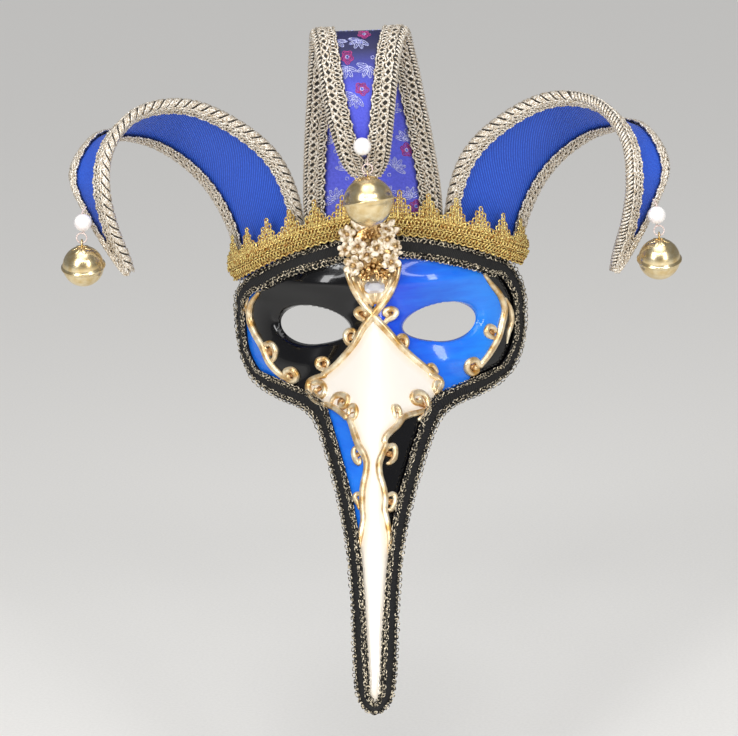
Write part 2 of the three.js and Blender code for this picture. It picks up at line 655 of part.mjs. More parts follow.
// The spray: ridged leaves in two fans round a boss, lying on the lace and leaning back with it.
function makeSpray() {
  const backAt = onCrown(0, SPRAY.z - TRIM_TOP, LACE.clear + LACE.thick + SPRAY.lift).y;
  const parts = [];
  for (const fan of SPRAY_FANS) {
    for (let i = 0; i < fan.leaves; i += 1) {
      const degrees = THREE.MathUtils.lerp(fan.from, fan.to, i / (fan.leaves - 1));
      const rings = SPRAY_LEAF.shares.map((share) => {
        const swell = Math.sin(Math.PI * (SPRAY_LEAF.startTurn + SPRAY_LEAF.fullTurn * share));
        const away = fan.root + (fan.length - fan.root) * share;
        const half = fan.wide / 2 * swell;
        const ridge = -fan.deep * (1 - SPRAY_LEAF.lower * share) * Math.max(swell, SPRAY_LEAF.least);
        return [[-half, 0], [half, 0], [0, ridge]].map(([side, y]) => new THREE.Vector3(side, y, away));
      });
      parts.push(outward(loft(rings, [[0, 1, 2]])).rotateY(THREE.MathUtils.degToRad(degrees)));
    }
  }
  const boss = new THREE.SphereGeometry(SPRAY.boss, 8, 5).scale(1, SPRAY.deep / 2 / SPRAY.boss, 1);
  parts.push(boss.translate(0, -SPRAY.deep / 2, 0));
  return joined(parts).rotateX(-Math.atan(FOREHEAD_LEAN)).translate(0, backAt, SPRAY.z);
}

// The crystal: an eight sided step cut with a table.
function makeJewel() {
  const ring = (scale, out) => {
    const [w, t] = [JEWEL.wide / 2 * scale, JEWEL.tall / 2 * scale];
    const [cw, ct] = [w - JEWEL.corner * scale, t - JEWEL.corner * scale];
    const outline = [[w, ct], [cw, t], [-cw, t], [-w, ct], [-w, -ct], [-cw, -t], [cw, -t], [w, -ct]];
    return outline.map(([x, z]) => new THREE.Vector3(x, -out, z));
  };
  const rings = [ring(0.8, 0), ring(1, JEWEL.deep * JEWEL.girdle), ring(JEWEL.table, JEWEL.deep)];
  const caps = [1, 2, 3, 4, 5, 6].map((i) => [0, i, i + 1]);
  const at = onFace(0, JEWEL.z, FIT);
  const turn = new THREE.Quaternion().setFromUnitVectors(new THREE.Vector3(0, -1, 0), faceNormal(0, JEWEL.z));
  return outward(loft(rings, caps)).applyQuaternion(turn).translate(at.x, at.y, at.z);
}

addPiece('mask_shell', 'enamel', makeShell());
addPiece('edge_braid', 'galloon', makeEdgeBraid());
addPiece('crown_lace', 'lace', makeCrownLace());

// A side horn with its bead, thread and bell, and the scrolls of that side, drawn on the right.
function sidePieces(side) {
  const last = SIDE_HORN.length - 1;
  const edge = (name) => SIDE_HORN.map((row, i) => {
    return new THREE.Vector3(row[`${name}x`], row[`${name}y`], row[`${name}z`] - side * SIDE_SAG * i / last);
  });
  const ribbon = ribbonBetween(edge('a'), edge('b'), SIDE_HORN_FOOT.inner, SIDE_HORN_FOOT.outer, side);
  const bead = ribbon.raised(SIDE_BEAD_AT.t, SIDE_BEAD_AT.across, -SIDE_BEAD_AT.stand);
  const loop = bead.clone().add(new THREE.Vector3(SIDE_LOOP.out, 0, -BEAD.radius - LOOP_RADIUS - SIDE_LOOP.below));
  const pivot = loop.clone().add(new THREE.Vector3(0, 0, -LOOP_RADIUS));
  const hole = (rise) => bead.clone().add(new THREE.Vector3(0, 0, rise));
  const stitch = ribbon.raised(SIDE_BEAD_AT.t - 0.03, SIDE_BEAD_AT.across, -(RIBBON_THICK / 2 + BRAID_OVER + FIT));
  const way = [
    loop.clone().add(new THREE.Vector3(-LOOP_RADIUS, 0, LOOP_RADIUS).multiplyScalar(Math.SQRT1_2)),
    hole(-BEAD.radius),
    hole(0),
    hole(BEAD.radius + THREAD_RADIUS),
    stitch,
  ];
  return [
    ['horn', 'ribbon', makeRibbon(ribbon)],
    ['horn_braid', 'braid', makeHornBraid(ribbon)],
    ['bead', 'pearl', makeBead(bead)],
    ['bell_thread', 'thread', makeThread(loop, way)],
    ['bell', 'bell', makeBell(SIDE_BELL_RADIUS, SIDE_BELL_LEAN, 0).translate(pivot.x, pivot.y, pivot.z)],
    ['scroll_temple', 'gilt', joined(TEMPLE_STROKES.map(makeStroke))],
    ['scroll_beak', 'gilt', joined(BEAK_STROKES.map(makeStroke))],
  ];
}

for (const [name, finish, geometry] of sidePieces(1)) {
  addPiece(`${name}_right`, finish, geometry);
}
for (const [name, finish, geometry] of sidePieces(-1)) {
  addPiece(`${name}_left`, finish, mirrored(geometry));
}

const centreEdge = (side) => CENTRE_HORN.map((row) => new THREE.Vector3(row.x + side * row.half, row.y, row.z));
const centreRibbon = ribbonBetween(centreEdge(-1), centreEdge(1), -CENTRE_HORN_FOOT, CENTRE_HORN_FOOT);
const centreBead = centreRibbon.raised(CENTRE_BEAD_AT.t, CENTRE_BEAD_AT.across, -CENTRE_BEAD_AT.stand);
const centreStitch = centreRibbon.raised(CENTRE_LOOP_AT.t, CENTRE_LOOP_AT.across, -(RIBBON_THICK / 2 + BRAID_OVER + FIT));
const centreTop = centreRibbon.raised(CENTRE_LOOP_AT.t, CENTRE_LOOP_AT.across, -CENTRE_LOOP_AT.stand);
const centreLoop = centreTop.clone().add(new THREE.Vector3(0, 0, -LOOP_RADIUS));
const centrePivot = centreLoop.clone().add(new THREE.Vector3(0, 0, -LOOP_RADIUS));
const centreBell = makeBell(CENTRE_BELL_RADIUS, CENTRE_BELL_LEAN, CENTRE_BELL_ROLL);

addPiece('horn_centre', 'brocade', makeRibbon(centreRibbon));
addPiece('horn_braid_centre', 'braid', makeHornBraid(centreRibbon));
addPiece('bead_centre', 'pearl', makeBead(centreBead));
addPiece('bell_thread_centre', 'thread', makeThread(centreLoop, [centreTop, centreStitch]));
addPiece('bell_centre', 'bell', centreBell.translate(centrePivot.x, centrePivot.y, centrePivot.z));

const noseStrokes = [NOSE_ARM, NOSE_CURL, ...NOSE_LEAVES].map(makeStroke);
addPiece('scroll_nose', 'gilt', joined([...noseStrokes, ...noseStrokes.map(mirrored)]));
addPiece('brow_ornament', 'spray', makeSpray());
addPiece('brow_jewel', 'crystal', makeJewel());

export default mask;
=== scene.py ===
# %% [markdown]
# # A carnival half mask with a long beak, ribbon horns and bells
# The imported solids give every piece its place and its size. This lesson dresses them: gloss paint on
# the moulded shell, gold relief, woven braid and lace, ribbon, brocade and polished bells.
# Lengths are in millimetres until a piece is finished, because that is how a maker measures a mask.

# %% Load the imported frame
import math
import random

import bmesh
import bpy
import numpy as np
from mathutils import Matrix, Vector


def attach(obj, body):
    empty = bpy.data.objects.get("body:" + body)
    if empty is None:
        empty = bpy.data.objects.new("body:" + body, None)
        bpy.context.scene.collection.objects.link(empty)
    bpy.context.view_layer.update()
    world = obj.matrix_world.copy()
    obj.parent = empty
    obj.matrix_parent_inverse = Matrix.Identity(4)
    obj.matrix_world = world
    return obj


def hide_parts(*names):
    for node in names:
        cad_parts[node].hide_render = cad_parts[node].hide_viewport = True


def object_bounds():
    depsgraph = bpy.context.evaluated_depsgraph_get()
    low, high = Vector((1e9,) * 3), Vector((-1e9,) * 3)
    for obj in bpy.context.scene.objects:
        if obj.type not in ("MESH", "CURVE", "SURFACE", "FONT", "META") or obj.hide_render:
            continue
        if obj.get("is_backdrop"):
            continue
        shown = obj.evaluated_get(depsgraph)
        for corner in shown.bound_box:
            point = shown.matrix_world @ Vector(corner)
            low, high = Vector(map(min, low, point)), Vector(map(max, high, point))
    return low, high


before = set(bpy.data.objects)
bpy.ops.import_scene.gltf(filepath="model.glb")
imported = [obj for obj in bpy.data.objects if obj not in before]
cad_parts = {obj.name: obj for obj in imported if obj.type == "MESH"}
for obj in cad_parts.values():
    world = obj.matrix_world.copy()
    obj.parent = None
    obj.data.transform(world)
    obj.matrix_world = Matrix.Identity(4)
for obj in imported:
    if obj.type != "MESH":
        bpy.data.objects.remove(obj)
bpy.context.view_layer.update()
scene = bpy.context.scene
MM = 0.001
random.seed(7)

# %% [markdown]
# ## Camera
# The mask is seen almost from the front, a little from above and turned a little in the picture.
# A camera can be aimed with a constraint, but a matrix built from three directions says exactly where
# it stands: right, up and back. A known point, the bridge of the nose, fixes where the picture lies.

# %% Camera
VIEW = {"azimuth": 3.2, "elevation": 12.0, "roll": 2.0}
AWAY = 1500.0
PIXEL = 0.58
IMAGE = (738, 736)
BRIDGE = Vector((0, 4, 0))
BRIDGE_PIXEL = (376, 320)
SENSOR = 36.0

turn, rise, roll = (math.radians(VIEW[key]) for key in ("azimuth", "elevation", "roll"))
back = Vector((math.sin(turn) * math.cos(rise), -math.cos(turn) * math.cos(rise), math.sin(rise)))
level = Vector((math.cos(turn), math.sin(turn), 0))
upright = back.cross(level)
right = level * math.cos(roll) - upright * math.sin(roll)
up = level * math.sin(roll) + upright * math.cos(roll)
aside, above = IMAGE[0] / 2 - BRIDGE_PIXEL[0], BRIDGE_PIXEL[1] - IMAGE[1] / 2
aim = BRIDGE + (right * aside + up * above) * PIXEL

camera = bpy.data.objects.new("camera", bpy.data.cameras.new("camera"))
camera.data.sensor_width = SENSOR
camera.data.lens = SENSOR * AWAY / (IMAGE[0] * PIXEL)
stand = Matrix.Translation((aim + back * AWAY) * MM)
camera.matrix_world = stand @ Matrix((right, up, back)).transposed().to_4x4()
scene.collection.objects.link(camera)
scene.camera = camera
print("camera", tuple(round(v, 3) for v in camera.location), "lens", round(camera.data.lens, 1))

# %% [markdown]
# ## Helpers for finishes
# Every finish is a node tree. One function adds any node: it sets properties and sockets by name and
# links sockets to earlier nodes. The few kinds of node used again and again have a short function each,
# which returns a (node, output) pair, so that one step can feed the next. Colours are written as sRGB
# hex codes, as on a paint chart, and one function turns them into the linear values that are mixed.

# %% Colour and node helpers
MIX_SHARE, MIX_FIRST, MIX_SECOND, MIX_RESULT = 0, 6, 7, 2
GRAIN_DETAIL, GRAIN_STRENGTH = 2.0, 0.5


def linear(code):
    """An sRGB hex code as linear red, green, blue and alpha."""
    channels = [int(code[i:i + 2], 16) / 255 for i in (1, 3, 5)]
    return (*[c / 12.92 if c <= 0.04045 else ((c + 0.055) / 1.055) ** 2.4 for c in channels], 1.0)


def link(tree, source, node, socket):
    """Links a (node, output) pair to a node's socket."""
    tree.links.new(source[0].outputs[source[1]], node.inputs[socket])


def add_node(tree, kind, settings=None, links=None):
    """Adds a node, sets its properties or sockets, and links sockets to (node, output) pairs."""
    node = tree.nodes.new(kind)
    for key, value in (settings or {}).items():
        if isinstance(key, str) and hasattr(node, key):
            setattr(node, key, value)
        else:
            node.inputs[key].default_value = value
    for key, source in (links or {}).items():
        link(tree, source, node, key)
    return node


def new_finish(name, settings):
    """A material with its shader's own sockets set; returns material, tree and shader."""
    material = bpy.data.materials.new(name)
    material.use_nodes = True
    tree = material.node_tree
    shader = tree.nodes["Principled BSDF"]
    for key, value in settings.items():
        shader.inputs[key].default_value = value
    return material, tree, shader


def object_place(tree):
    return add_node(tree, "ShaderNodeTexCoord"), "Object"


def ramp(tree, value, low, high):
    """A share that goes from 0 to 1 while a value goes from low to high."""
    limits = {"From Min": low, "From Max": high}
    return add_node(tree, "ShaderNodeMapRange", limits, {"Value": value}), "Result"


def noise(tree, place, scale, detail, roughness=0.5):
    """A cloudy pattern of values from 0 to 1."""
    settings = {"Scale": scale, "Detail": detail, "Roughness": roughness}
    return add_node(tree, "ShaderNodeTexNoise", settings, {"Vector": place}), "Fac"


def reckon(tree, operation, *values, clamp=False):
    """A sum on values that are numbers or (node, output) pairs."""
    settings, links = {"operation": operation, "use_clamp": clamp}, {}
    for socket, value in enumerate(values):
        if isinstance(value, tuple):
            links[socket] = value
        else:
            settings[socket] = value
    return add_node(tree, "ShaderNodeMath", settings, links), "Value"


def blend(tree, share, first, second):
    """Mixes two colours, each a hex code or a (node, output) pair."""
    settings, links = {"data_type": "RGBA"}, {MIX_SHARE: share}
    for socket, colour in ((MIX_FIRST, first), (MIX_SECOND, second)):
        if isinstance(colour, str):
            settings[socket] = linear(colour)
        else:
            links[socket] = colour
    return add_node(tree, "ShaderNodeMix", settings, links), MIX_RESULT


def add_bump(tree, shader, height, strength, depth):
    """Bumps a shader by a pattern of a depth in millimetres."""
    settings = {"Strength": strength, "Distance": depth * MM}
    link(tree, (add_node(tree, "ShaderNodeBump", settings, {"Height": height}), "Normal"), shader, "Normal")


def grained(name, settings, codes, grain, spread=(0.36, 0.64), bump=0.0):
    """A finish whose colour changes between two codes with a noise of a grain in millimetres."""
    finish, tree, shader = new_finish(name, settings)
    speckle = noise(tree, object_place(tree), 1 / (grain * MM), GRAIN_DETAIL)
    link(tree, blend(tree, ramp(tree, speckle, *spread), *codes), shader, "Base Color")
    if bump:
        add_bump(tree, shader, speckle, GRAIN_STRENGTH, bump)
    return finish


print("middle grey is", round(linear("#808080")[0], 3), "as a linear value")

# %% [markdown]
# ## Studio
# A plain pale floor far below the beak and soft light from panels, as a mask is photographed. Two
# upright panels and a wide low one give the bright reflections on the gloss paint, and a wide soft
# light from the ceiling keeps the floor pale all the way back.

# %% Floor
FLOOR_DROP = -270
FLOOR_HALF = 16000

floor_mesh = bmesh.new()
bmesh.ops.create_grid(floor_mesh, x_segments=1, y_segments=1, size=FLOOR_HALF * MM)
bmesh.ops.translate(floor_mesh, vec=(0, 0, FLOOR_DROP * MM), verts=floor_mesh.verts)
floor = bpy.data.objects.new("floor", bpy.data.meshes.new("floor"))
floor_mesh.to_mesh(floor.data)
floor_mesh.free()
floor.data.materials.append(grained("pale matt paper", {"Roughness": 0.95}, ("#e9e7e3", "#edebe7"), 2.0))
scene.collection.objects.link(floor)
floor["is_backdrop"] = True
print("floor", 2 * FLOOR_HALF * MM, "m wide")

# %% Light and world
LIGHTS = [
    ("panel_left", (-800, -1300, 750), (320, 950), 11),
    ("panel_right", (900, -1250, 600), (300, 950), 9),
    ("panel_front", (0, -1500, 1150), (1500, 190), 7),
]
CEILING = {"from": (0, -300, 1000), "strength": 1.3, "spread": 50}
WORLD = {"Color": linear("#eef0f4"), "Strength": 0.28}


def add_lamp(light, place):
    """Hangs a light at a place in millimetres, aimed at the middle of the mask."""
    lamp = bpy.data.objects.new(light.name, light)
    lamp.location = Vector(place) * MM
    lamp.rotation_euler = (-lamp.location).to_track_quat("-Z", "Y").to_euler()
    scene.collection.objects.link(lamp)


for name, place, size, power in LIGHTS:
    panel = bpy.data.lights.new(name, "AREA")
    panel.shape = "RECTANGLE"
    panel.size, panel.size_y = size[0] * MM, size[1] * MM
    panel.energy = power
    add_lamp(panel, place)

ceiling = bpy.data.lights.new("ceiling", "SUN")
ceiling.energy, ceiling.angle = CEILING["strength"], math.radians(CEILING["spread"])
add_lamp(ceiling, CEILING["from"])

world = bpy.data.worlds.new("studio")
world.use_nodes = True
for key, value in WORLD.items():
    world.node_tree.nodes["Background"].inputs[key].default_value = value
scene.world = world
scene.view_settings.view_transform = "Standard"
print("lights:", len(LIGHTS) + 1)

# %% [markdown]
# ## The face as a surface
# The shell is one moulded sheet, so every point of it has one depth for its place across and up. The
# solids use the same rule: half an ellipse in plan, a forehead that leans back, three swellings, and
# the wedge of the nose and beak blended in. Writing it as a function lets paint, relief and braid all
# find the surface they lie on.

# %% The face surface
FACE_FRONT, HEAD_HALF_WIDTH, HEAD_DEPTH, HEAD_PLAN_END = 4, 90, 78, 0.985
FOREHEAD_START, FOREHEAD_LEAN = 8, 0.14
SWELLS = [
    {"part": "brow", "x": 36, "z": 22, "wide": 30, "tall": 9, "depth": -5},
    {"part": "eye socket", "x": 38, "z": 0, "wide": 20, "tall": 11, "depth": 6},
    {"part": "cheek", "x": 46, "z": -28, "wide": 24, "tall": 11, "depth": -4},
]
RIDGE_Z = [34, 16, 0, -20, -40, -80, -120, -160, -200]
RIDGE_Y = [16, 5.5, -2, -17, -37, -72, -102, -128, -150]
BEAK_SLOPE, BEAK_ROUNDING, NOSE_FILLET = 1.25, 7, 11
NORMAL_STEP = 0.2


def read_table(keys, values, wanted):
    """Reads a column between its rows on a smooth curve, for many wanted keys at once."""
    keys, values = np.array(keys, float), np.array(values, float)
    if keys[0] > keys[-1]:
        keys, values = keys[::-1], values[::-1]
    at = np.clip(wanted, keys[0], keys[-1])
    i = np.clip(np.searchsorted(keys, at, side="right") - 1, 0, len(keys) - 2)
    slopes = np.empty_like(values)
    slopes[1:-1] = (values[2:] - values[:-2]) / (keys[2:] - keys[:-2])
    slopes[0] = (values[1] - values[0]) / (keys[1] - keys[0])
    slopes[-1] = (values[-1] - values[-2]) / (keys[-1] - keys[-2])
    span = keys[i + 1] - keys[i]
    t = (at - keys[i]) / span
    start = values[i] * (2 * t ** 3 - 3 * t ** 2 + 1) + span * slopes[i] * (t ** 3 - 2 * t ** 2 + t)
    return start + values[i + 1] * (3 * t ** 2 - 2 * t ** 3) + span * slopes[i + 1] * (t ** 3 - t ** 2)


def face_depth(x, z):
    """Depth of the mask's outer surface at places across and up."""
    plan = np.minimum(np.abs(x) / HEAD_HALF_WIDTH, HEAD_PLAN_END)
    face = FACE_FRONT + HEAD_DEPTH * (1 - np.sqrt(1 - plan * plan))
    face = face + FOREHEAD_LEAN * np.maximum(z - FOREHEAD_START, 0)
    for swell in SWELLS:
        across = (np.abs(x) - swell["x"]) / swell["wide"]
        raised = (z - swell["z"]) / swell["tall"]
        face = face + swell["depth"] * np.exp(-across ** 2 - raised ** 2)
    nose = read_table(RIDGE_Z, RIDGE_Y, z) + BEAK_SLOPE * (np.hypot(x, BEAK_ROUNDING) - BEAK_ROUNDING)
    near = np.maximum(NOSE_FILLET - np.abs(face - nose), 0) / NOSE_FILLET
    return np.minimum(face, nose) - near * near * NOSE_FILLET / 4


def unit(vectors):
    return vectors / np.maximum(np.linalg.norm(vectors, axis=-1, keepdims=True), 1e-9)


def face_normal(x, z):
    step = NORMAL_STEP
    across = (face_depth(x + step, z) - face_depth(x - step, z)) / (2 * step)
    upward = (face_depth(x, z + step) - face_depth(x, z - step)) / (2 * step)
    return unit(np.stack([across, -np.ones_like(across), upward], -1))


def on_face(x, z, out=0.0):
    """Points of the outer surface, moved out of it by a distance."""
    x, z = np.asarray(x, float), np.asarray(z, float)
    out = np.broadcast_to(np.asarray(out, float), x.shape)
    return np.stack([x, face_depth(x, z), z], -1) + face_normal(x, z) * out[..., None]


print("bridge depth", round(float(face_depth(np.array(0.0), np.array(0.0))), 2), "mm")

# %% [markdown]
# ## Helpers for pieces
# A sheet starts as a flat grid whose points are then moved onto a surface: the grid operator makes the
# faces and the UV map, and the move gives the form. Thread starts as a curve with a round bevel, which
# is far lighter to write than a swept mesh, and is made a mesh at the end. Both end at the origin,
# in metres, riding on a body of the frame.

# %% Piece helpers
def mesh_of(bm, name):
    mesh = bpy.data.meshes.new(name)
    bm.to_mesh(mesh)
    bm.free()
    return mesh


def finish_piece(shape, name, body, finishes, stands_for=()):
    """Makes a smooth object of a bmesh or mesh in millimetres and hangs it on a body."""
    mesh = mesh_of(shape, name) if isinstance(shape, bmesh.types.BMesh) else shape
    mesh.transform(Matrix.Scale(MM, 4))
    mesh.shade_smooth()
    for finish in finishes:
        mesh.materials.append(finish)
    piece = bpy.data.objects.new(name, mesh)
    scene.collection.objects.link(piece)
    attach(piece, body)
    if stands_for:
        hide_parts(*stands_for)
    print(name, len(mesh.polygons), "faces")
    return piece


def add_thickness(piece, thickness, offset, inside_finish=0):
    """Gives a sheet its body; the inside may take the piece's second finish."""
    body = piece.modifiers.new("thickness", "SOLIDIFY")
    body.thickness = thickness * MM
    body.offset = offset
    body.material_offset = inside_finish


def sheet_grid(columns, rows, place, size=(1.0, 1.0)):
    """A grid whose points, shares from 0 to 1, are moved by place; its UV map is in millimetres."""
    bm = bmesh.new()
    uv = bm.loops.layers.uv.new("UVMap")
    bmesh.ops.create_grid(bm, x_segments=columns, y_segments=rows, size=0.5)
    shares = np.array([(v.co.x + 0.5, v.co.y + 0.5) for v in bm.verts])
    for face in bm.faces:
        for corner in face.loops:
            a, b = shares[corner.vert.index]
            corner[uv].uv = (a * size[0], b * size[1])
    for vert, point in zip(bm.verts, place(shares[:, 0], shares[:, 1])):
        vert.co = point
    return bm


def face_forward(bm):
    """Makes the faces of a sheet agree and look to the front."""
    bmesh.ops.recalc_face_normals(bm, faces=bm.faces)
    if sum(f.normal.y for f in bm.faces) > 0:
        bmesh.ops.reverse_faces(bm, faces=bm.faces)


def thread_mesh(name, strands, sides=4):
    """Round threads as one mesh. A strand is its points, its radius or radii, and whether it closes."""
    curve = bpy.data.curves.new(name, "CURVE")
    curve.dimensions = "3D"
    curve.bevel_depth = 1.0
    curve.bevel_resolution = max(sides // 2 - 2, 0)
    curve.use_fill_caps = True
    for points, radius, closed in strands:
        spline = curve.splines.new("POLY")
        spline.points.add(len(points) - 1)
        spline.points.foreach_set("co", np.column_stack([points, np.ones(len(points))]).ravel())
        radii = np.broadcast_to(np.asarray(radius, float), len(points))
        spline.points.foreach_set("radius", radii.copy())
        spline.use_cyclic_u = closed
    holder = bpy.data.objects.new(name, curve)
    scene.collection.objects.link(holder)
    bpy.context.view_layer.update()
    finished = holder.evaluated_get(bpy.context.evaluated_depsgraph_get())
    made = bpy.data.meshes.new_from_object(finished)
    bpy.data.objects.remove(holder)
    bpy.data.curves.remove(curve)
    return made

# %% [markdown]
# A cord, a stroke of relief and the edge of a ribbon are all lines through a few measured places. A curve
# with handles would need two more places at each of them. This one needs none, and because its steps
# follow the root of each gap, it makes no loops where the places lie unevenly.

# %% Line helpers
def smooth_line(points, closed=False):
    """A function of shares from 0 to 1 along a smooth curve that passes through the points."""
    points = np.array(points, float)
    if closed:
        points = np.vstack([points, points[:1]])
    before = 2 * points[0] - points[1] if not closed else points[-2]
    after = 2 * points[-1] - points[-2] if not closed else points[1]
    padded = np.vstack([before, points, after])
    count = len(points) - 1

    def gap(a, b):
        return np.maximum(np.sqrt(np.linalg.norm(b - a, axis=-1))[..., None], 1e-4)

    def at(share):
        whole = np.clip(np.asarray(share, float), 0, 1) * count
        i = np.minimum(whole.astype(int), count - 1)
        w = (whole - i)[..., None]
        p0, p1, p2, p3 = (padded[i + k] for k in range(4))
        g0, g1, g2 = gap(p0, p1), gap(p1, p2), gap(p2, p3)
        start = ((p1 - p0) / g0 - (p2 - p0) / (g0 + g1) + (p2 - p1) / g1) * g1
        end = ((p2 - p1) / g1 - (p3 - p1) / (g1 + g2) + (p3 - p2) / g2) * g1
        square = 3 * (p2 - p1) - 2 * start - end
        cube = 2 * (p1 - p2) + start + end
        return p1 + start * w + square * w ** 2 + cube * w ** 3

    return at


def run_along(line, low=0.0, high=1.0, samples=1500):
    """Shares along a line between two of them, and the length run at each share."""
    shares = np.linspace(low, high, samples)
    steps = np.linalg.norm(np.diff(line(shares), axis=0), axis=1)
    return shares, np.concatenate([[0], np.cumsum(steps)])


def even_shares(line, step):
    """Shares along a line that lie about a step apart in length."""
    shares, run = run_along(line)
    count = max(int(round(run[-1] / step)), 2)
    return np.interp(np.linspace(0, run[-1], count + 1), run, shares)

# %% [markdown]
# ## The gold lines
# The relief was modelled by hand along drawn lines, and the paint was filled in up to them. So the lines
# come first, as lists of places across and up the face. The two sides were drawn by hand and differ, so
# each has its own. Lists, and not curve objects, let the paint and the relief share them. A stroke is a
# row of widths along a line, and a web is a low fill between strokes.

# %% Main lines of the relief
NOSE_LINES = {
    "right": [
        (-17.1, 31.4), (-14.5, 24.1), (-11.4, 16.7), (-6.5, 9.6), (-2.7, 5.5), (1.7, 0.2), (7.5, -6.7),
        (12.8, -13.6), (20.3, -21.5), (28.9, -29.4), (37, -37),
    ],
    "left": [
        (14.5, 32.3), (12.9, 25), (10.3, 19), (6.3, 12.6), (1.8, 7.6), (-1.6, 3.4), (-6.8, -3.2),
        (-11.5, -11.4), (-18.5, -19.8), (-24.9, -26.2), (-33.1, -32.5),
    ],
}
TEMPLE_LINES = {
    "right": [
        (62.8, 21.7), (67.1, 14.5), (71.9, 6.6), (74, -2), (72.1, -10.7), (69.6, -18.6), (64.4, -26.3),
        (58.4, -32.5),
    ],
    "left": [
        (-70.1, 12.8), (-75.6, 4.8), (-77, -4.8), (-74.1, -12.2), (-68.7, -20.1), (-64.6, -28.4),
        (-58.7, -33.9), (-54, -36.4),
    ],
}
CHEEK_LINES = {
    "right": [
        (29, -48.9), (24.7, -49.4), (19.1, -49.3), (14.9, -50.1), (12.5, -52.6), (8.7, -54.8), (5.9, -57),
        (4.8, -59.9),
    ],
    "left": [
        (-29.5, -31.3), (-35.5, -33.3), (-39.8, -36.2), (-40.7, -40.1), (-38.5, -44.2), (-34, -46.7),
        (-27.2, -45.9), (-19.6, -48), (-16.1, -49.8),
    ],
}
STRIPE_LINES = {
    "right": [
        (6.6, -60.2), (4.2, -64.6), (2.4, -69.2), (2.8, -74.7), (4.6, -80.4), (5.6, -86.1), (5.3, -91.5),
        (6.6, -97.2), (7.7, -102.9), (8, -108.4), (8.3, -113.9), (8.6, -117.1),
    ],
    "left": [
        (-15.3, -49.3), (-13.3, -52.6), (-11.3, -57.1), (-9, -61.5), (-6.3, -64.7), (-4.4, -68.7),
        (-4.7, -73.6), (-6, -79.3), (-6.7, -85.4), (-6.5, -91.5), (-6.1, -95.7), (-7.2, -101.9),
        (-8.4, -108.2), (-9.2, -113.8),
    ],
}
print("main lines:", sum(map(len, (NOSE_LINES, TEMPLE_LINES, CHEEK_LINES, STRIPE_LINES))))

# %% Strokes of the nose
ARM, CURL = (2.4, 2.8, 3.2, 3.4, 3.4, 3.2, 3.0, 2.6), (1.6, 2.6, 2.8, 2, 1.2)
FORK, SLIM_FORK = (2, 2.6, 2.8, 2.6, 2.4, 3.2), (1.8, 2.2, 2.2, 1.6)
FOREHEAD_WEB, MIDDLE_WEB = (6, 6, 5, 3), (8, 8, 7, 5, 3)
NOSE_STROKES = [
    (ARM, NOSE_LINES["right"]),
    (ARM, NOSE_LINES["left"]),
    (SLIM_FORK, [(-8.9, 27.6), (-7.3, 21.1), (-4.7, 14.6), (-1.1, 9)]),
    (SLIM_FORK, [(10, 27.7), (8.2, 21.9), (4.7, 15.5), (1.1, 9.7)]),
    (FORK, [
        (-4.6, -1.8), (-6.2, 0.8), (-9.6, 2.3), (-11.1, 4.9), (-8.9, 7), (-5.5, 6.6), (-4.7, 4.9),
        (-6.3, 3.8),
    ]),
    (FORK, [(4, -2.6), (6.4, 0.4), (10.3, 2), (11.8, 4.6), (9.7, 6.4), (6.1, 6.2), (5.1, 4.4), (7.1, 3.4)]),
    (CURL, [(-13.2, -14.6), (-17.1, -12.1), (-17.7, -8.2), (-14.9, -5.6), (-12.1, -6.2), (-13.8, -10.2)]),
    (CURL, [(16.3, -16.7), (17.4, -13.9), (16.5, -10.7), (14, -9.3), (12, -10.5), (13.7, -13.8)]),
    (CURL, [
        (-25, -26.4), (-31.2, -28.6), (-34.8, -26.6), (-34.4, -23.8), (-30.6, -22.8), (-28.4, -24.6),
        (-29.4, -27.2),
    ]),
    ((1.4, 2.4, 2.4, 1.4), [(29.4, -30), (29.4, -28), (31.2, -27.6), (33.4, -29.8), (34.8, -32.6)]),
]
NOSE_WEBS = [
    (FOREHEAD_WEB, [(-13, 30), (-10.9, 22.6), (-8, 15.6), (-3.8, 9.3)]),
    (FOREHEAD_WEB, [(12.2, 30), (10.5, 23.4), (7.5, 17.2), (3.7, 11.1)]),
    (MIDDLE_WEB, [(-3, 30), (-2.6, 24), (-2, 18), (-1, 13), (0, 9.5)]),
    (MIDDLE_WEB, [(4, 30), (3.6, 24), (2.6, 18), (1.4, 13), (0.4, 9.5)]),
]
print("strokes on the nose:", len(NOSE_STROKES), "and webs:", len(NOSE_WEBS))

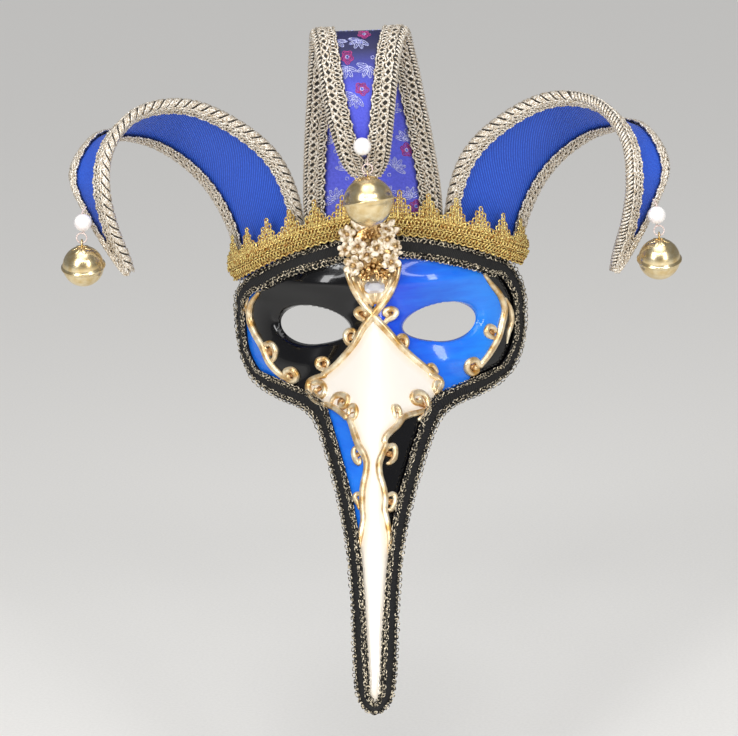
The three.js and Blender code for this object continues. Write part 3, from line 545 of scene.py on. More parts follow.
# %% Strokes of the temples and the beak
SIDE_LEAF, SMALL_CURL, BUD = (1.2, 2.6, 2.4, 0.8), (1.4, 2.6, 2.6, 1.2), (1.8, 2.6, 2.4, 1.4)
TEMPLE_STROKES = {
    "left": [
        ((1.8, 3, 3.4, 3.6, 3.2, 3), TEMPLE_LINES["left"]),
        ((2.6, 3, 3, 2.6, 3.2), [
            (-55.3, -36.6), (-49.9, -37.4), (-47.9, -33.9), (-50.5, -30.4), (-54.7, -31.9), (-54.7, -34.8),
            (-51.8, -34.9),
        ]),
        ((1.4, 2.8, 2.8, 1.6), [
            (-66.2, -21.9), (-67.5, -18.6), (-63.7, -17), (-61.1, -19.5), (-61.2, -24.4), (-63.8, -27.6),
        ]),
        (SIDE_LEAF, [(-77.2, 8.5), (-79.8, -0.3), (-81.2, -9.4), (-79.4, -19.3)]),
    ],
    "right": [
        ((1.4, 2.8, 3.4, 3.6, 3.2, 2.8), TEMPLE_LINES["right"]),
        ((2.6, 3, 3, 2.6, 3), [
            (59.2, -32.7), (56.5, -28), (52.4, -28.7), (51.5, -32.6), (54.6, -36.1), (57.5, -34.5),
            (55.5, -31.9),
        ]),
        ((1.4, 2.6, 2.6, 1.4), [
            (70, -18.1), (66, -16.6), (63.1, -13.3), (64.8, -10.2), (68.1, -12), (68.5, -14.8),
        ]),
        (SIDE_LEAF, [(75, 4.7), (77.6, -2.4), (78.3, -10.1), (76.1, -17.5), (75.3, -22.9)]),
    ],
}
BEAK_STROKES = {
    "left": [
        ((2.4, 2.8, 3.2, 3, 2.6, 2.8), CHEEK_LINES["left"]),
        ((2.4, 2.8, 2.8, 2.4, 3), [
            (-38.3, -37), (-34.3, -35.5), (-30.6, -37.2), (-30.5, -40.6), (-33.7, -43.2), (-36.6, -41.9),
            (-35, -39.3),
        ]),
        ((2, 3, 3, 2.4, 2.2), [
            (-26.4, -44.5), (-24.1, -40.9), (-19.8, -39.1), (-16.2, -39.9), (-16.6, -43.4), (-18.9, -44.8),
            (-20.9, -43.3),
        ]),
        (BUD, [(-15.3, -48.1), (-15, -44.9), (-12.3, -42.9), (-10.7, -44.7), (-11.1, -47.9), (-13, -49.5)]),
        ((2.8, 3.2, 3.2, 2.8, 3, 2.6, 2.6, 1.2), STRIPE_LINES["left"]),
        (SMALL_CURL, [
            (-8.6, -62.1), (-11.3, -63.2), (-12, -65.8), (-10.8, -68.6), (-8.5, -70), (-8.2, -66.9),
        ]),
        ((1.4, 2.6, 2.4, 1), [(-6.5, -84.2), (-9.9, -84.8), (-11, -86.9), (-9.5, -89), (-8.7, -91.9)]),
        ((1.2, 2.2, 1), [(-8.3, -107), (-10.5, -106.3), (-11.1, -104)]),
    ],
    "right": [
        ((2.4, 3, 3, 2.6), [(29.4, -32.1), (34.1, -34.7), (36.6, -38.2), (35.5, -40.5), (33.3, -42.5)]),
        ((2.4, 2.8, 2.8, 2.2), [(36.6, -37.5), (33.3, -37.5), (32.6, -39.8), (34, -42)]),
        ((2, 3, 3.2, 2.8, 2.4, 2.6), [
            (23.7, -53.2), (27.2, -51.6), (29.3, -48.7), (28.3, -43.8), (25.1, -40.2), (21.2, -39.5),
            (20.2, -41.8), (22.6, -44.5), (25.1, -44.5), (24, -42.4),
        ]),
        ((2, 2.8, 3, 3, 2.8), CHEEK_LINES["right"]),
        (BUD, [(13.9, -49.8), (13.5, -46.4), (11.8, -43.8), (10, -43.4), (10.4, -46.3), (11.1, -48.9)]),
        ((2.8, 3, 2.8, 3, 2.6, 2.6, 1.2), STRIPE_LINES["right"]),
        (SMALL_CURL, [
            (5.6, -64.2), (7.3, -62.1), (10.1, -62.1), (11.1, -64.8), (10.4, -68.3), (8, -69.9), (6.3, -69.8),
        ]),
        (SMALL_CURL, [(6, -85.5), (9.4, -84.8), (11.1, -87), (10.4, -90.8), (8.4, -92.4), (6.6, -91.7)]),
        ((1.2, 2.2, 1.2), [(8.3, -110.3), (10, -108.9), (11.1, -107.4), (10, -106.2)]),
    ],
}
for side, strokes in BEAK_STROKES.items():
    print(side, "strokes:", len(TEMPLE_STROKES[side]), "on the temple,", len(strokes), "on the beak")

# %% [markdown]
# ## Gloss paint on the shell
# The shell is painted by hand in three colours that swap sides: black and blue round the eyes, blue and
# black outside the gold lines and down the beak, and white on the nose. One material can hold them all
# if the mesh says how far each point is from a border. Two numbers are stored on the points, the
# distance into the white and the distance into the blue, and the shader cuts them sharply at zero. The
# borders run along the gold lines, and the white goes on under the galloon at the tip of the beak.

# %% The paint borders
WHITE_CORNER = [(35.5, -36), (35.5, -40.5), (33, -43)]
WHITE_TIP = [(8.8, -120), (7.6, -136), (7, -150), (6, -172)]
WHITE_OUTLINE = [
    (0, 1.8), *NOSE_LINES["right"][5:10], *WHITE_CORNER, *CHEEK_LINES["right"], *STRIPE_LINES["right"][1:11],
    *WHITE_TIP, (0, -190), *[(-x, z) for x, z in WHITE_TIP[::-1]],
    *STRIPE_LINES["left"][::-1], *CHEEK_LINES["left"][7:1:-1], *NOSE_LINES["left"][:5:-1], (-1.6, 1.6),
]
TEMPLE_ENDS = {"right": ((50, -42), (58, 28)), "left": ((46, -46), (66, 20))}
CHEEK_BORDER = -42


def inside_distance(outline, x, z):
    """Signed distance into a closed outline, for many points."""
    corners = np.array(outline, float)
    ends = np.roll(corners, -1, axis=0)
    points = np.stack([x, z], -1)[:, None, :]
    along = ends - corners
    share = np.clip(((points - corners) * along).sum(-1) / (along ** 2).sum(-1), 0, 1)
    distance = np.linalg.norm(points - (corners + share[..., None] * along), axis=-1).min(1)
    crosses = (corners[:, 1] > points[..., 1]) != (ends[:, 1] > points[..., 1])
    rise = np.where(along[:, 1] == 0, 1e-9, along[:, 1])
    left_of = points[..., 0] < corners[:, 0] + (points[..., 1] - corners[:, 1]) * along[:, 0] / rise
    return np.where((crosses & left_of).sum(1) % 2 == 1, distance, -distance)


def temple_border(side, z):
    """How far out a temple's line lies at a height; it goes on past the ends of the relief."""
    low, high = TEMPLE_ENDS[side]
    line = [low, *[(abs(x), height) for x, height in TEMPLE_LINES[side][::-1]], high]
    return np.interp(z, [height for _, height in line], [x for x, _ in line])


def paint_distances(x, z):
    """Distance into the white zone and distance into the blue zone."""
    border = np.where(x >= 0, temple_border("right", z), temple_border("left", z))
    inner = np.minimum(border - np.abs(x), z - CHEEK_BORDER)
    return inside_distance(WHITE_OUTLINE, x, z), np.where(x >= 0, inner, -inner)


print("corners of the white outline:", len(WHITE_OUTLINE))

# %% [markdown]
# The paint itself is a gloss enamel under clear lacquer: a sharp reflection on top of a deep colour. The
# blue was brushed on, so it has streaks, violet by the nose and lighter towards the temple and beak.

# %% Gloss enamel
GLOSS = {"Roughness": 0.2, "Specular IOR Level": 0.2, "Coat Weight": 0.6, "Coat Roughness": 0.04}
STREAK_LONG, STREAK_HIGH, STREAK_DEPTH = 26, 4, 0.9
EYE_BLUE_FROM, EYE_BLUE_TO = 4, 66
BEAK_BLUE_FROM, BEAK_BLUE_TO = -34, -44
WHITE_SHADE_REACH = 5.0

enamel, tree, shader = new_finish("brushed gloss enamel", GLOSS)
spot = object_place(tree)
axes = add_node(tree, "ShaderNodeSeparateXYZ", links={"Vector": spot})
stretch = (1 / (STREAK_LONG * MM), 1 / (STREAK_LONG * MM), 1 / (STREAK_HIGH * MM))
streaks = add_node(tree, "ShaderNodeMapping", {"Scale": stretch}, {"Vector": spot})
strokes = noise(tree, (streaks, "Vector"), 1.0, 4.0, 0.6)
outer = ramp(tree, (axes, "X"), EYE_BLUE_FROM * MM, EYE_BLUE_TO * MM)
streaked = reckon(tree, "MULTIPLY_ADD", strokes, STREAK_DEPTH, -STREAK_DEPTH / 2)
eye_blue = blend(tree, reckon(tree, "ADD", outer, streaked, clamp=True), "#1a44d4", "#2686f2")
side_blue = blend(tree, strokes, "#0f5ae2", "#2b8cf5")
low = ramp(tree, (axes, "Z"), BEAK_BLUE_FROM * MM, BEAK_BLUE_TO * MM)
left_side = reckon(tree, "LESS_THAN", (axes, "X"), 0.0)
blue = blend(tree, reckon(tree, "MAXIMUM", low, left_side), eye_blue, side_blue)
dark = blend(tree, strokes, "#020203", "#08070a")
blue_zone = (add_node(tree, "ShaderNodeAttribute", {"attribute_name": "blue_zone"}), "Fac")
ground = blend(tree, reckon(tree, "GREATER_THAN", blue_zone, 0.0), dark, blue)
white_zone = (add_node(tree, "ShaderNodeAttribute", {"attribute_name": "white_zone"}), "Fac")
# Painted shade: the white darkens to cream within a few millimetres of its border along the gold relief.
white = blend(tree, ramp(tree, white_zone, 0.0, WHITE_SHADE_REACH), "#e4d6c0", "#f4ede2")
paint = blend(tree, reckon(tree, "GREATER_THAN", white_zone, 0.0), ground, white)
link(tree, paint, shader, "Base Color")
lining = grained("matt black moulded pulp", {"Roughness": 0.85}, ("#141316", "#25232a"), 1.5, bump=0.2)
print("enamel nodes:", len(tree.nodes))

# %% [markdown]
# ## The moulded shell
# On the real mask this is one moulded sheet, trimmed round the rim and the eyes. A grid from rim to rim
# follows the face, the faces inside the eyes are deleted and the ragged points left there are drawn
# to the eye's outline. The lip of each eye rolls inwards, as a moulded edge does.

# %% The eye holes
EYE = {"x": 38, "z": -4.5, "half_width": 21, "half_height": 9.8, "blunt": 0.16, "blunt_end": 1.5}


def eye_height(across):
    """Half the height of an eye hole, which is a little taller on its outer side."""
    return EYE["half_height"] * (1 + EYE["blunt"] * np.clip(across, -EYE["blunt_end"], EYE["blunt_end"]))


def eye_reach(x, z):
    """How far a point lies from the middle of the nearer eye: 1 on the outline."""
    across = (np.abs(x) - EYE["x"]) / EYE["half_width"]
    upward = (z - EYE["z"]) / eye_height(across)
    return across, upward, np.hypot(across, upward)


print("eye holes", 2 * EYE["half_width"], "x", round(2 * eye_height(0.0), 1), "mm")

# %% The shell
RIM_LEVEL = list(range(17))
RIM_X = [79, 83, 83.8, 82, 74, 59, 45.5, 35, 28.2, 21.6, 16.2, 12.4, 10.4, 9.6, 8.6, 6.8, 3]
RIM_Z = [23, 8, -8, -25, -40, -47.6, -50, -54, -65, -81, -98, -116, -136, -152, -172, -182, -186.6]
RIM_MID = [51, 33, 16, 0, -13, -26, -36, -46, -58, -76, -95, -114, -135, -151.5, -172, -182.5, -187]
EYE_LIP = {"reach": 0.24, "roll": 3.2, "ragged": 1.4}
SHELL_GRID = (150, 190)
WALL = 2


def place_shell(a, b):
    level = RIM_LEVEL[-1] * (1 - b)
    x, z, middle = (read_table(RIM_LEVEL, table, level) for table in (RIM_X, RIM_Z, RIM_MID))
    u = 2 * a - 1
    return np.stack([x * u, np.zeros_like(u), middle + (z - middle) * u * u], -1)


shell = sheet_grid(*SHELL_GRID, place_shell)
middles = np.array([f.calc_center_median() for f in shell.faces])
inside = eye_reach(middles[:, 0], middles[:, 2])[2] < 1
bmesh.ops.delete(shell, geom=[f for f, cut in zip(shell.faces, inside) if cut], context="FACES")
places = np.array([v.co for v in shell.verts])
across, upward, reach = eye_reach(places[:, 0], places[:, 2])
ragged = np.array([v.is_boundary for v in shell.verts]) & (reach < EYE_LIP["ragged"])
draw = np.where(ragged, 1 / reach, 1.0)
side = np.where(places[:, 0] < 0, -1, 1)
new_across = across * draw
new_x = np.where(ragged, side * (EYE["x"] + new_across * EYE["half_width"]), places[:, 0])
new_z = np.where(ragged, EYE["z"] + upward * draw * eye_height(new_across), places[:, 2])
lip = np.clip(1 - np.maximum(reach * draw - 1, 0) / EYE_LIP["reach"], 0, 1) ** 2 * EYE_LIP["roll"]
lifted = on_face(new_x, new_z, -lip)
zones = paint_distances(new_x, new_z)
layers = [shell.verts.layers.float.new(name) for name in ("white_zone", "blue_zone")]
for i, vert in enumerate(shell.verts):
    vert.co = lifted[i]
    for layer, zone in zip(layers, zones):
        vert[layer] = zone[i]
face_forward(shell)
shell_piece = finish_piece(shell, "painted_shell", "mask", [enamel, lining], ["mask_shell"])
add_thickness(shell_piece, WALL, -1, inside_finish=1)

# %% [markdown]
# ## Metal thread, ribbon and other finishes
# Metal thread is a fine foil strip wound on a core. A noise at about the size of one turn of foil varies its
# colour between a dark and a pale code; on the gold and champagne thread these are painted shade and
# painted glints, in place of the sparkle of the foil. The same recipe, with other colours, gives the gold
# lace, the champagne braid and the flecked edge of the galloon. Cloth takes its ribs from the UV map, which
# is in millimetres, and its slant tells a twill from a plain rib. The brocade is painted navy at the top of
# its horn, where it folds over, as painted shade.

# %% Thread and cloth finishes
FOIL_TURN = 0.8
WAVE_TURN = 0.314
RIB_WANDER = {"Distortion": 0.6, "Detail": 1.0, "Detail Scale": 2.0}
RIB_SPREAD, RIB_STRENGTH = (0.05, 0.6), 0.6
SLUB_SCALE, SLUB_DETAIL = 0.9, 3.0
SHADE_NAVY = "#0d0e48"

# Painted glints and shade: the grain mixes dark brown gold with pale yellow.
gold_thread = grained(
    "wound gold thread", {"Metallic": 0.55, "Roughness": 0.28}, ("#9c5c0e", "#ffec98"),
    FOIL_TURN, (0.38, 0.6), 0.3,
)
# Painted glints and shade: the grain mixes a greyed tan with near white.
champagne_thread = grained(
    "wound champagne thread", {"Metallic": 0.4, "Roughness": 0.34}, ("#a58f70", "#fffaf0"),
    FOIL_TURN, bump=0.3,
)
flecked_thread = grained(
    "flecked black and silver gimp", {"Metallic": 0.6, "Roughness": 0.32}, ("#0c0a08", "#f6e8cc"),
    1.2, (0.46, 0.6), 0.3,
)


def woven_cloth(name, codes, pitch, slant=0, roughness=0.6, sheen=0.1, depth=0.2, painted_shade_above=None):
    """Cloth with ribs a pitch apart, turned by slant degrees; painted shade may darken it to navy between two
    heights.
    """
    settings = {"Roughness": roughness, "Sheen Weight": sheen, "Sheen Roughness": 0.4}
    finish, tree, shader = new_finish(name, settings)
    flat = (add_node(tree, "ShaderNodeUVMap", {"uv_map": "UVMap"}), "UV")
    turned = add_node(tree, "ShaderNodeMapping", {"Rotation": (0, 0, math.radians(slant))}, {"Vector": flat})
    bands = {"wave_type": "BANDS", "bands_direction": "Y", "Scale": WAVE_TURN / pitch, **RIB_WANDER}
    ribs = (add_node(tree, "ShaderNodeTexWave", bands, {"Vector": (turned, "Vector")}), "Fac")
    slubs = noise(tree, flat, SLUB_SCALE, SLUB_DETAIL)
    colour = blend(tree, ramp(tree, reckon(tree, "MULTIPLY", ribs, slubs), *RIB_SPREAD), *codes)
    if painted_shade_above:
        # Painted shade: the cloth darkens to navy towards the top of the horn.
        axes = add_node(tree, "ShaderNodeSeparateXYZ", links={"Vector": object_place(tree)})
        fold = ramp(tree, (axes, "Z"), painted_shade_above[0] * MM, painted_shade_above[1] * MM)
        colour = blend(tree, fold, colour, SHADE_NAVY)
    link(tree, colour, shader, "Base Color")
    add_bump(tree, shader, ribs, RIB_STRENGTH, depth)
    return finish


blue_ribbon = woven_cloth("royal blue twill ribbon", ("#0d3aac", "#2a68de"), 1.4, slant=38, sheen=0.2)
satin_ground = woven_cloth(
    "blue violet satin brocade ground", ("#3438bc", "#6a74f2"), 0.5,
    roughness=0.5, depth=0.05, painted_shade_above=(138, 160),
)
black_weave = woven_cloth(
    "black woven galloon", ("#020202", "#0b090b"), 1.1, roughness=0.7, sheen=0.0, depth=0.3,
)
# Painted shade: a near black brown for the ground seen between the braid's threads.
braid_shade_ground = woven_cloth("braid ground in painted shade", ("#14100b", "#342c20"), 0.9)
print("finishes:", len(bpy.data.materials))

# %% [markdown]
# ## Galloon on the rim
# A black galloon is glued round the whole rim. It is a flat woven band with picots of flecked gimp along
# both edges. The band is a closed strip of grid laid on the face, slightly domed.

# %% The rim line and the galloon
TRIM_TOP, TRIM_TOP_TILT, TRIM_TOP_BEND, TRIM_TOP_REACH = 48.5, 0.033, 0.0044, 76
TRIM_OVERHANG = 1
TRIM_Z = [50, 10, -40, -98, -116, -136, -152, -172, -188]
TRIM_WIDTH = [12, 11.5, 10, 9.8, 8.8, 8.4, 8.6, 8.3, 5]
TRIM_OUT, TRIM_DOME, TRIM_PROBE = 1.5, 0.9, 3
TRIM_STEP = 2e-4
BAND_WIDTH, BAND_THICK, BAND_GRID = 11, 1.2, (8, 480)
BAND_INNER, BAND_SPAN = 1.04, 1.1


def trim_top(x):
    return TRIM_TOP + TRIM_TOP_TILT * x - TRIM_TOP_BEND * x * x


def half_rim(side):
    """Places of the rim line from the forehead's middle down one side."""
    top = side * np.linspace(0, TRIM_TOP_REACH, 9)[1:]
    levels = np.arange(1, RIM_LEVEL[-1] + 0.1, 0.5)
    edge = side * (read_table(RIM_LEVEL, RIM_X, levels) + TRIM_OVERHANG)
    return [*zip(top, trim_top(top)), *zip(edge, read_table(RIM_LEVEL, RIM_Z, levels))]


trim_foot = (0, RIM_MID[-1] - TRIM_OVERHANG)
trim_line = smooth_line([(0, TRIM_TOP), *half_rim(1), trim_foot, *half_rim(-1)[::-1]], closed=True)
trim_shares, trim_run = run_along(trim_line)
trim_length = trim_run[-1]


def on_trim(run, inward, out):
    """Points on the galloon: run along the rim, share of its width inwards, height off the face."""
    share = np.interp(np.mod(run, trim_length), trim_run, trim_shares)
    at = trim_line(share)
    along = unit(trim_line(np.mod(share + TRIM_STEP, 1)) - trim_line(np.mod(share - TRIM_STEP, 1)))
    way = np.stack([along[:, 1], -along[:, 0]], -1)
    middle = at + way * TRIM_PROBE
    slope = face_depth(*(middle + way).T) - face_depth(*middle.T)
    width = read_table(TRIM_Z, TRIM_WIDTH, at[:, 1]) / np.hypot(1, slope)
    spots = at + way * (width * inward)[:, None]
    return on_face(spots[:, 0], spots[:, 1], out)


def place_galloon(a, b):
    dome = TRIM_DOME * (1 - (2 * a - 1) ** 2)
    return on_trim(b * trim_length, BAND_INNER - BAND_SPAN * a, TRIM_OUT + dome)


band = sheet_grid(*BAND_GRID, place_galloon, (BAND_WIDTH, trim_length))
bmesh.ops.remove_doubles(band, verts=band.verts, dist=0.01)
face_forward(band)
band_piece = finish_piece(band, "galloon_band", "mask", [black_weave], ["edge_braid"])
add_thickness(band_piece, BAND_THICK, -1)
print("rim", round(trim_length, 1), "mm round")

# %% [markdown]
# A picot is a little ring of thread. Two rows of them lie along each edge, no two rings quite alike.
# Down the beak the galloon is drawn in, so the outer rings are smaller there and the inner ones larger.

# %% Picots of the galloon
PICOT_ROWS = [
    {"inward": -0.02, "radius": 1.45, "pitch": 3.0, "beak": 0.7},
    {"inward": 0.15, "radius": 1.1, "pitch": 2.6, "beak": 0.7},
    {"inward": 0.85, "radius": 1.1, "pitch": 2.6, "beak": 1.3},
    {"inward": 1.0, "radius": 1.4, "pitch": 3.0, "beak": 1.3},
]
PICOT_POINTS, PICOT_THREAD, PICOT_SIZES = 8, 0.31, (0.8, 1.15)
PICOT_STAND, PICOT_TILT = 1.0, 0.5
BEAK_PICOTS = (-125, -70)
ANY_WAY = (0, 6.28)


def full_turn(count):
    """Angles evenly spaced round a circle."""
    return np.linspace(0, 2 * np.pi, count, endpoint=False)


edging = []
turn = full_turn(PICOT_POINTS)[None, :]
for row in PICOT_ROWS:
    middles = np.arange(0, trim_length - 1, row["pitch"])[:, None]
    heights = trim_line(np.interp(middles[:, 0], trim_run, trim_shares))[:, 1:]
    sizes = np.array([[random.uniform(*PICOT_SIZES)] for _ in middles])
    tips = np.array([[random.uniform(*ANY_WAY)] for _ in middles])
    radii = row["radius"] * sizes * np.interp(heights, BEAK_PICOTS, (row["beak"], 1))
    runs = middles + radii * np.cos(turn)
    inward = row["inward"] + radii / BAND_WIDTH * np.sin(turn)
    out = TRIM_OUT + PICOT_STAND + PICOT_TILT * np.sin(turn + tips)
    rings = on_trim(runs.ravel(), inward.ravel(), out.ravel())
    edging += [(ring, PICOT_THREAD, True) for ring in rings.reshape(len(middles), PICOT_POINTS, 3)]
finish_piece(thread_mesh("picots", edging), "galloon_looped_edges", "mask", [flecked_thread])

# %% [markdown]
# ## The line of the crown
# Lace and horns stand on the upper line of the galloon. A point there is named by its place across the
# forehead, its height above the line and how far it stands off.

# %% Places on the crown
CROWN_REACH = 84


def on_crown(x, height, out):
    """Points above the galloon's upper line: place across, height over the line, distance off it."""
    x = np.asarray(x, float)
    foot = on_face(x, trim_top(x))
    away = face_normal(x, trim_top(x)) * np.array([1, 1, 0])
    lean = np.array([0, FOREHEAD_LEAN, 1])
    height, out = (np.broadcast_to(np.asarray(v, float), x.shape)[..., None] for v in (height, out))
    return foot + lean * height + unit(away) * out


crown_x, crown_run = run_along(lambda x: on_crown(x, 0, 0), -CROWN_REACH, CROWN_REACH, 600)
print("crown line", round(crown_run[-1], 1), "mm")

# %% [markdown]
# ## Gold lace
# The lace is worked in wound gold thread: a netted band below, and above it a row of stepped points made
# of hairpin loops, the tallest in the middle of each point. A pierced plate would look stamped, so every
# thread is laid on its own: waves and cords for the net, hairpins for the points. A dark gold sheet lies
# behind the net as painted shade, so that the holes of the net read as shadow.

# %% Places on the lace
LACE = {"points": 13, "reach": 82, "foot": 3.4, "clear": 7.6, "flare": 8, "lift": 0.5, "front": 0.9}
lace_start, lace_end = np.interp([-LACE["reach"], LACE["reach"]], crown_x, crown_run)
lace_length = lace_end - lace_start


def smooth_step(value, low, high):
    """Goes gently from 0 to 1 while a value goes from low to high."""
    share = np.clip((value - low) / (high - low), 0, 1)
    return share * share * (3 - 2 * share)


def on_lace(run, height, out):
    """A point of the lace: run along it from its left end, its height and how far it stands out."""
    x = np.interp(lace_start + run, crown_run, crown_x)
    stand = LACE["foot"] + (LACE["clear"] - LACE["foot"]) * smooth_step(height, 0, LACE["flare"])
    return on_crown(x, height + LACE["lift"], stand + LACE["front"] + out)


print("lace", round(lace_length, 1), "mm long")

# %% Net and hairpins
NET_ROWS = [
    {"height": 0.9, "swing": 0.55, "pitch": 4.2, "thread": 0.7, "phases": (0,)},
    {"height": 3.6, "swing": 1.8, "pitch": 4.2, "thread": 0.56, "phases": (0, np.pi)},
    {"height": 6.2, "swing": 0.2, "pitch": 4.2, "thread": 0.5, "phases": (0,)},
    {"height": 8.6, "swing": 1.7, "pitch": 4.2, "thread": 0.56, "phases": (np.pi / 2, -np.pi / 2)},
    {"height": 11.2, "swing": 0.3, "pitch": 2.8, "thread": 0.7, "phases": (0,)},
]
NET_STEPS, NET_DEPTH = 7, 0.4
HAIRPINS = [(0.07, 15.5), (0.21, 18.5), (0.36, 22.5), (0.5, 27), (0.64, 22.5), (0.79, 18.5), (0.93, 15.5)]
HAIRPIN = {"half": 0.95, "foot": 10.5, "wire": 0.52, "bead": 0.18, "stray": 0.4, "step": 1.1, "crimp": 0.3}
CORE = {"drop": 0.6, "crimp": 0.35, "share": 0.8}


def hairpin_strands(at, top):
    """One hairpin loop at a place along the lace, with the straight core between its legs."""
    half = HAIRPIN["half"]
    leg = np.arange(HAIRPIN["foot"], top - half, HAIRPIN["step"])
    bend = np.linspace(0, np.pi, 7)
    heights = np.concatenate([leg, top - half + half * np.sin(bend), leg[::-1]])
    sides = half * np.concatenate([np.ones_like(leg), np.cos(bend), -np.ones_like(leg)])
    run = np.clip(at + sides, 0, lace_length)
    radii = HAIRPIN["wire"] + HAIRPIN["bead"] * np.where(np.arange(len(run)) % 2, 1, -1)
    loop = on_lace(run, heights, HAIRPIN["crimp"] * np.sin(3 * heights))
    core = on_lace(np.full_like(leg, at), leg - CORE["drop"], CORE["crimp"] * np.sin(4 * leg))
    return [(loop, radii, False), (core, radii[:len(leg)] * CORE["share"], False)]


lace_threads = []
repeat = lace_length / LACE["points"]
for row in NET_ROWS:
    run = np.arange(0, lace_length, row["pitch"] / NET_STEPS)
    for phase in row["phases"]:
        wave = 2 * np.pi * run / row["pitch"] + phase
        points = on_lace(run, row["height"] + row["swing"] * np.sin(wave), NET_DEPTH * np.cos(wave))
        lace_threads.append((points, row["thread"], False))
for i in range(LACE["points"]):
    for share, full in HAIRPINS:
        top = full - random.uniform(0, 4 * HAIRPIN["stray"])
        at = (i + share) * repeat + random.uniform(-HAIRPIN["stray"], HAIRPIN["stray"])
        lace_threads += hairpin_strands(at, top)
lace_mesh = thread_mesh("crown_lace", lace_threads)
finish_piece(lace_mesh, "gold_lace", "mask", [gold_thread], ["crown_lace"])

# %% Painted shade behind the net
LACE_SHADE_SHEET = {"low": 0.5, "high": 13, "out": -0.5, "thick": 0.4, "grid": (8, 200)}


def place_lace_shade_sheet(a, b):
    return on_lace(b * lace_length, LACE_SHADE_SHEET["low"] + (LACE_SHADE_SHEET["high"] - LACE_SHADE_SHEET["low"]) * a, LACE_SHADE_SHEET["out"])


lace_shade_sheet = sheet_grid(*LACE_SHADE_SHEET["grid"], place_lace_shade_sheet, (LACE_SHADE_SHEET["high"], lace_length))
face_forward(lace_shade_sheet)
# Painted shade: dark brown gold, seen through the holes of the net.
shaded_gold = grained(
    "painted shade behind the gold lace", {"Metallic": 0.5, "Roughness": 0.5}, ("#2e1b05", "#96651c"),
    FOIL_TURN, bump=0.3,
)
lace_shade_sheet_piece = finish_piece(lace_shade_sheet, "gold_lace_painted_shade", "mask", [shaded_gold])
add_thickness(lace_shade_sheet_piece, LACE_SHADE_SHEET["thick"], -1)

# %% [markdown]
# ## Horns as ribbons between two edges
# Each horn is a stiffened ribbon. Its two trimmed edges are smooth curves through a few measured points,
# and the ribbon is drawn straight across from one to the other, keeping the round of the forehead at its
# foot. The left and right horns are one shape, but the right has sagged a little with wear.

# %% Horn surfaces
SIDE_HORN_FOOT, CENTRE_HORN_FOOT = (42, 83.5), (-38.5, 38.5)
SIDE_HORN = np.array([
    ((42, 20, 61), (85.5, 57, 37)), ((53, 12.5, 95), (94.5, 50, 63.5)), ((76, 4, 117.5), (108.5, 39, 85)),
    ((103, -6, 130), (127, 28, 100.5)), ((127.5, -21, 127), (144.5, 13, 108)),
    ((142, -39, 108.5), (158, -11, 109)), ((144, -48, 87), (167.5, -29, 92)),
    ((141.5, -46, 65.5), (160, -31, 71)), ((136, -37, 43), (144.5, -31, 42)),
    ((135, -33, 33.5), (137, -32, 33)),
])
SIDE_SAG = 2.8
CENTRE_HORN = [
    (-0.5, 19, 71, 39.6), (-1.2, 12, 104, 36.5), (-1.8, 6, 131, 33), (-2.5, 0, 153, 30), (-2.8, -14, 168, 27),
    (-3, -30, 158, 23.5), (-3, -35, 134, 20), (-2.2, -31, 108, 15.8), (-1.5, -26, 95, 12.4),
    (-1, -22, 86, 6.5),
]
FOOT_OUT, HORN_LIFT, HORN_STEP = 1.8, 1, 0.002
ROUND_HOLD, ROUND_END = 0.045, 0.3
RIBBON_END, BRAID_START, BRAID_LAST = 0.94, 0.045, 0.985


def ribbon_between(inner, outer, foot_span, side=1):
    """Returns raised(t, across, out) and width(t) of a ribbon; side -1 gives the left one."""
    flip = np.array([side, 1, 1])

    def foot(across):
        x = foot_span[0] + (foot_span[1] - foot_span[0]) * across
        return on_crown(side * x, HORN_LIFT, FOOT_OUT) * flip

    ends = foot(np.array([0.0, 1.0]))
    inner_edge, outer_edge = smooth_line([ends[0], *inner]), smooth_line([ends[1], *outer])

    def point(t, across):
        t, across = np.broadcast_arrays(np.asarray(t, float), np.asarray(across, float))
        share = across[..., None]
        straight = inner_edge(t) * (1 - share) + outer_edge(t) * share
        flat = ends[0] * (1 - share) + ends[1] * share
        return straight + (foot(across) - flat) * (1 - smooth_step(t, ROUND_HOLD, ROUND_END))[..., None]

    def raised(t, across, out):
        t, across, out = np.broadcast_arrays(*(np.asarray(v, float) for v in (t, across, out)))
        along = point(np.minimum(t + HORN_STEP, 1), across) - point(np.maximum(t - HORN_STEP, 0), across)
        over = point(t, across + HORN_STEP) - point(t, across - HORN_STEP)
        return (point(t, across) + unit(np.cross(over, along)) * out[..., None]) * flip

    def width(t):
        return np.linalg.norm(inner_edge(t) - outer_edge(t), axis=-1)

    return raised, width


def side_ribbon(side):
    """The ribbon of a side horn; the sag grows towards the tip."""
    sag = np.zeros((len(SIDE_HORN), 3))
    sag[:, 2] = -side * np.linspace(0, SIDE_SAG, len(SIDE_HORN))
    return ribbon_between(SIDE_HORN[:, 0] + sag, SIDE_HORN[:, 1] + sag, SIDE_HORN_FOOT, side)


centre_edges = [[(x + way * half, y, z) for x, y, z, half in CENTRE_HORN] for way in (-1, 1)]
centre_ribbon = ribbon_between(*centre_edges, CENTRE_HORN_FOOT)
HORNS = {"right": side_ribbon(1), "left": side_ribbon(-1), "centre": centre_ribbon}
print("horns:", ", ".join(HORNS))

# %% [markdown]
# ## The ribbons
# A ribbon keeps one thickness, so a grid along and across it gets its body from a Solidify modifier. The
# UV map is in millimetres along and across the cloth, so that ribs and threads keep their real spacing.

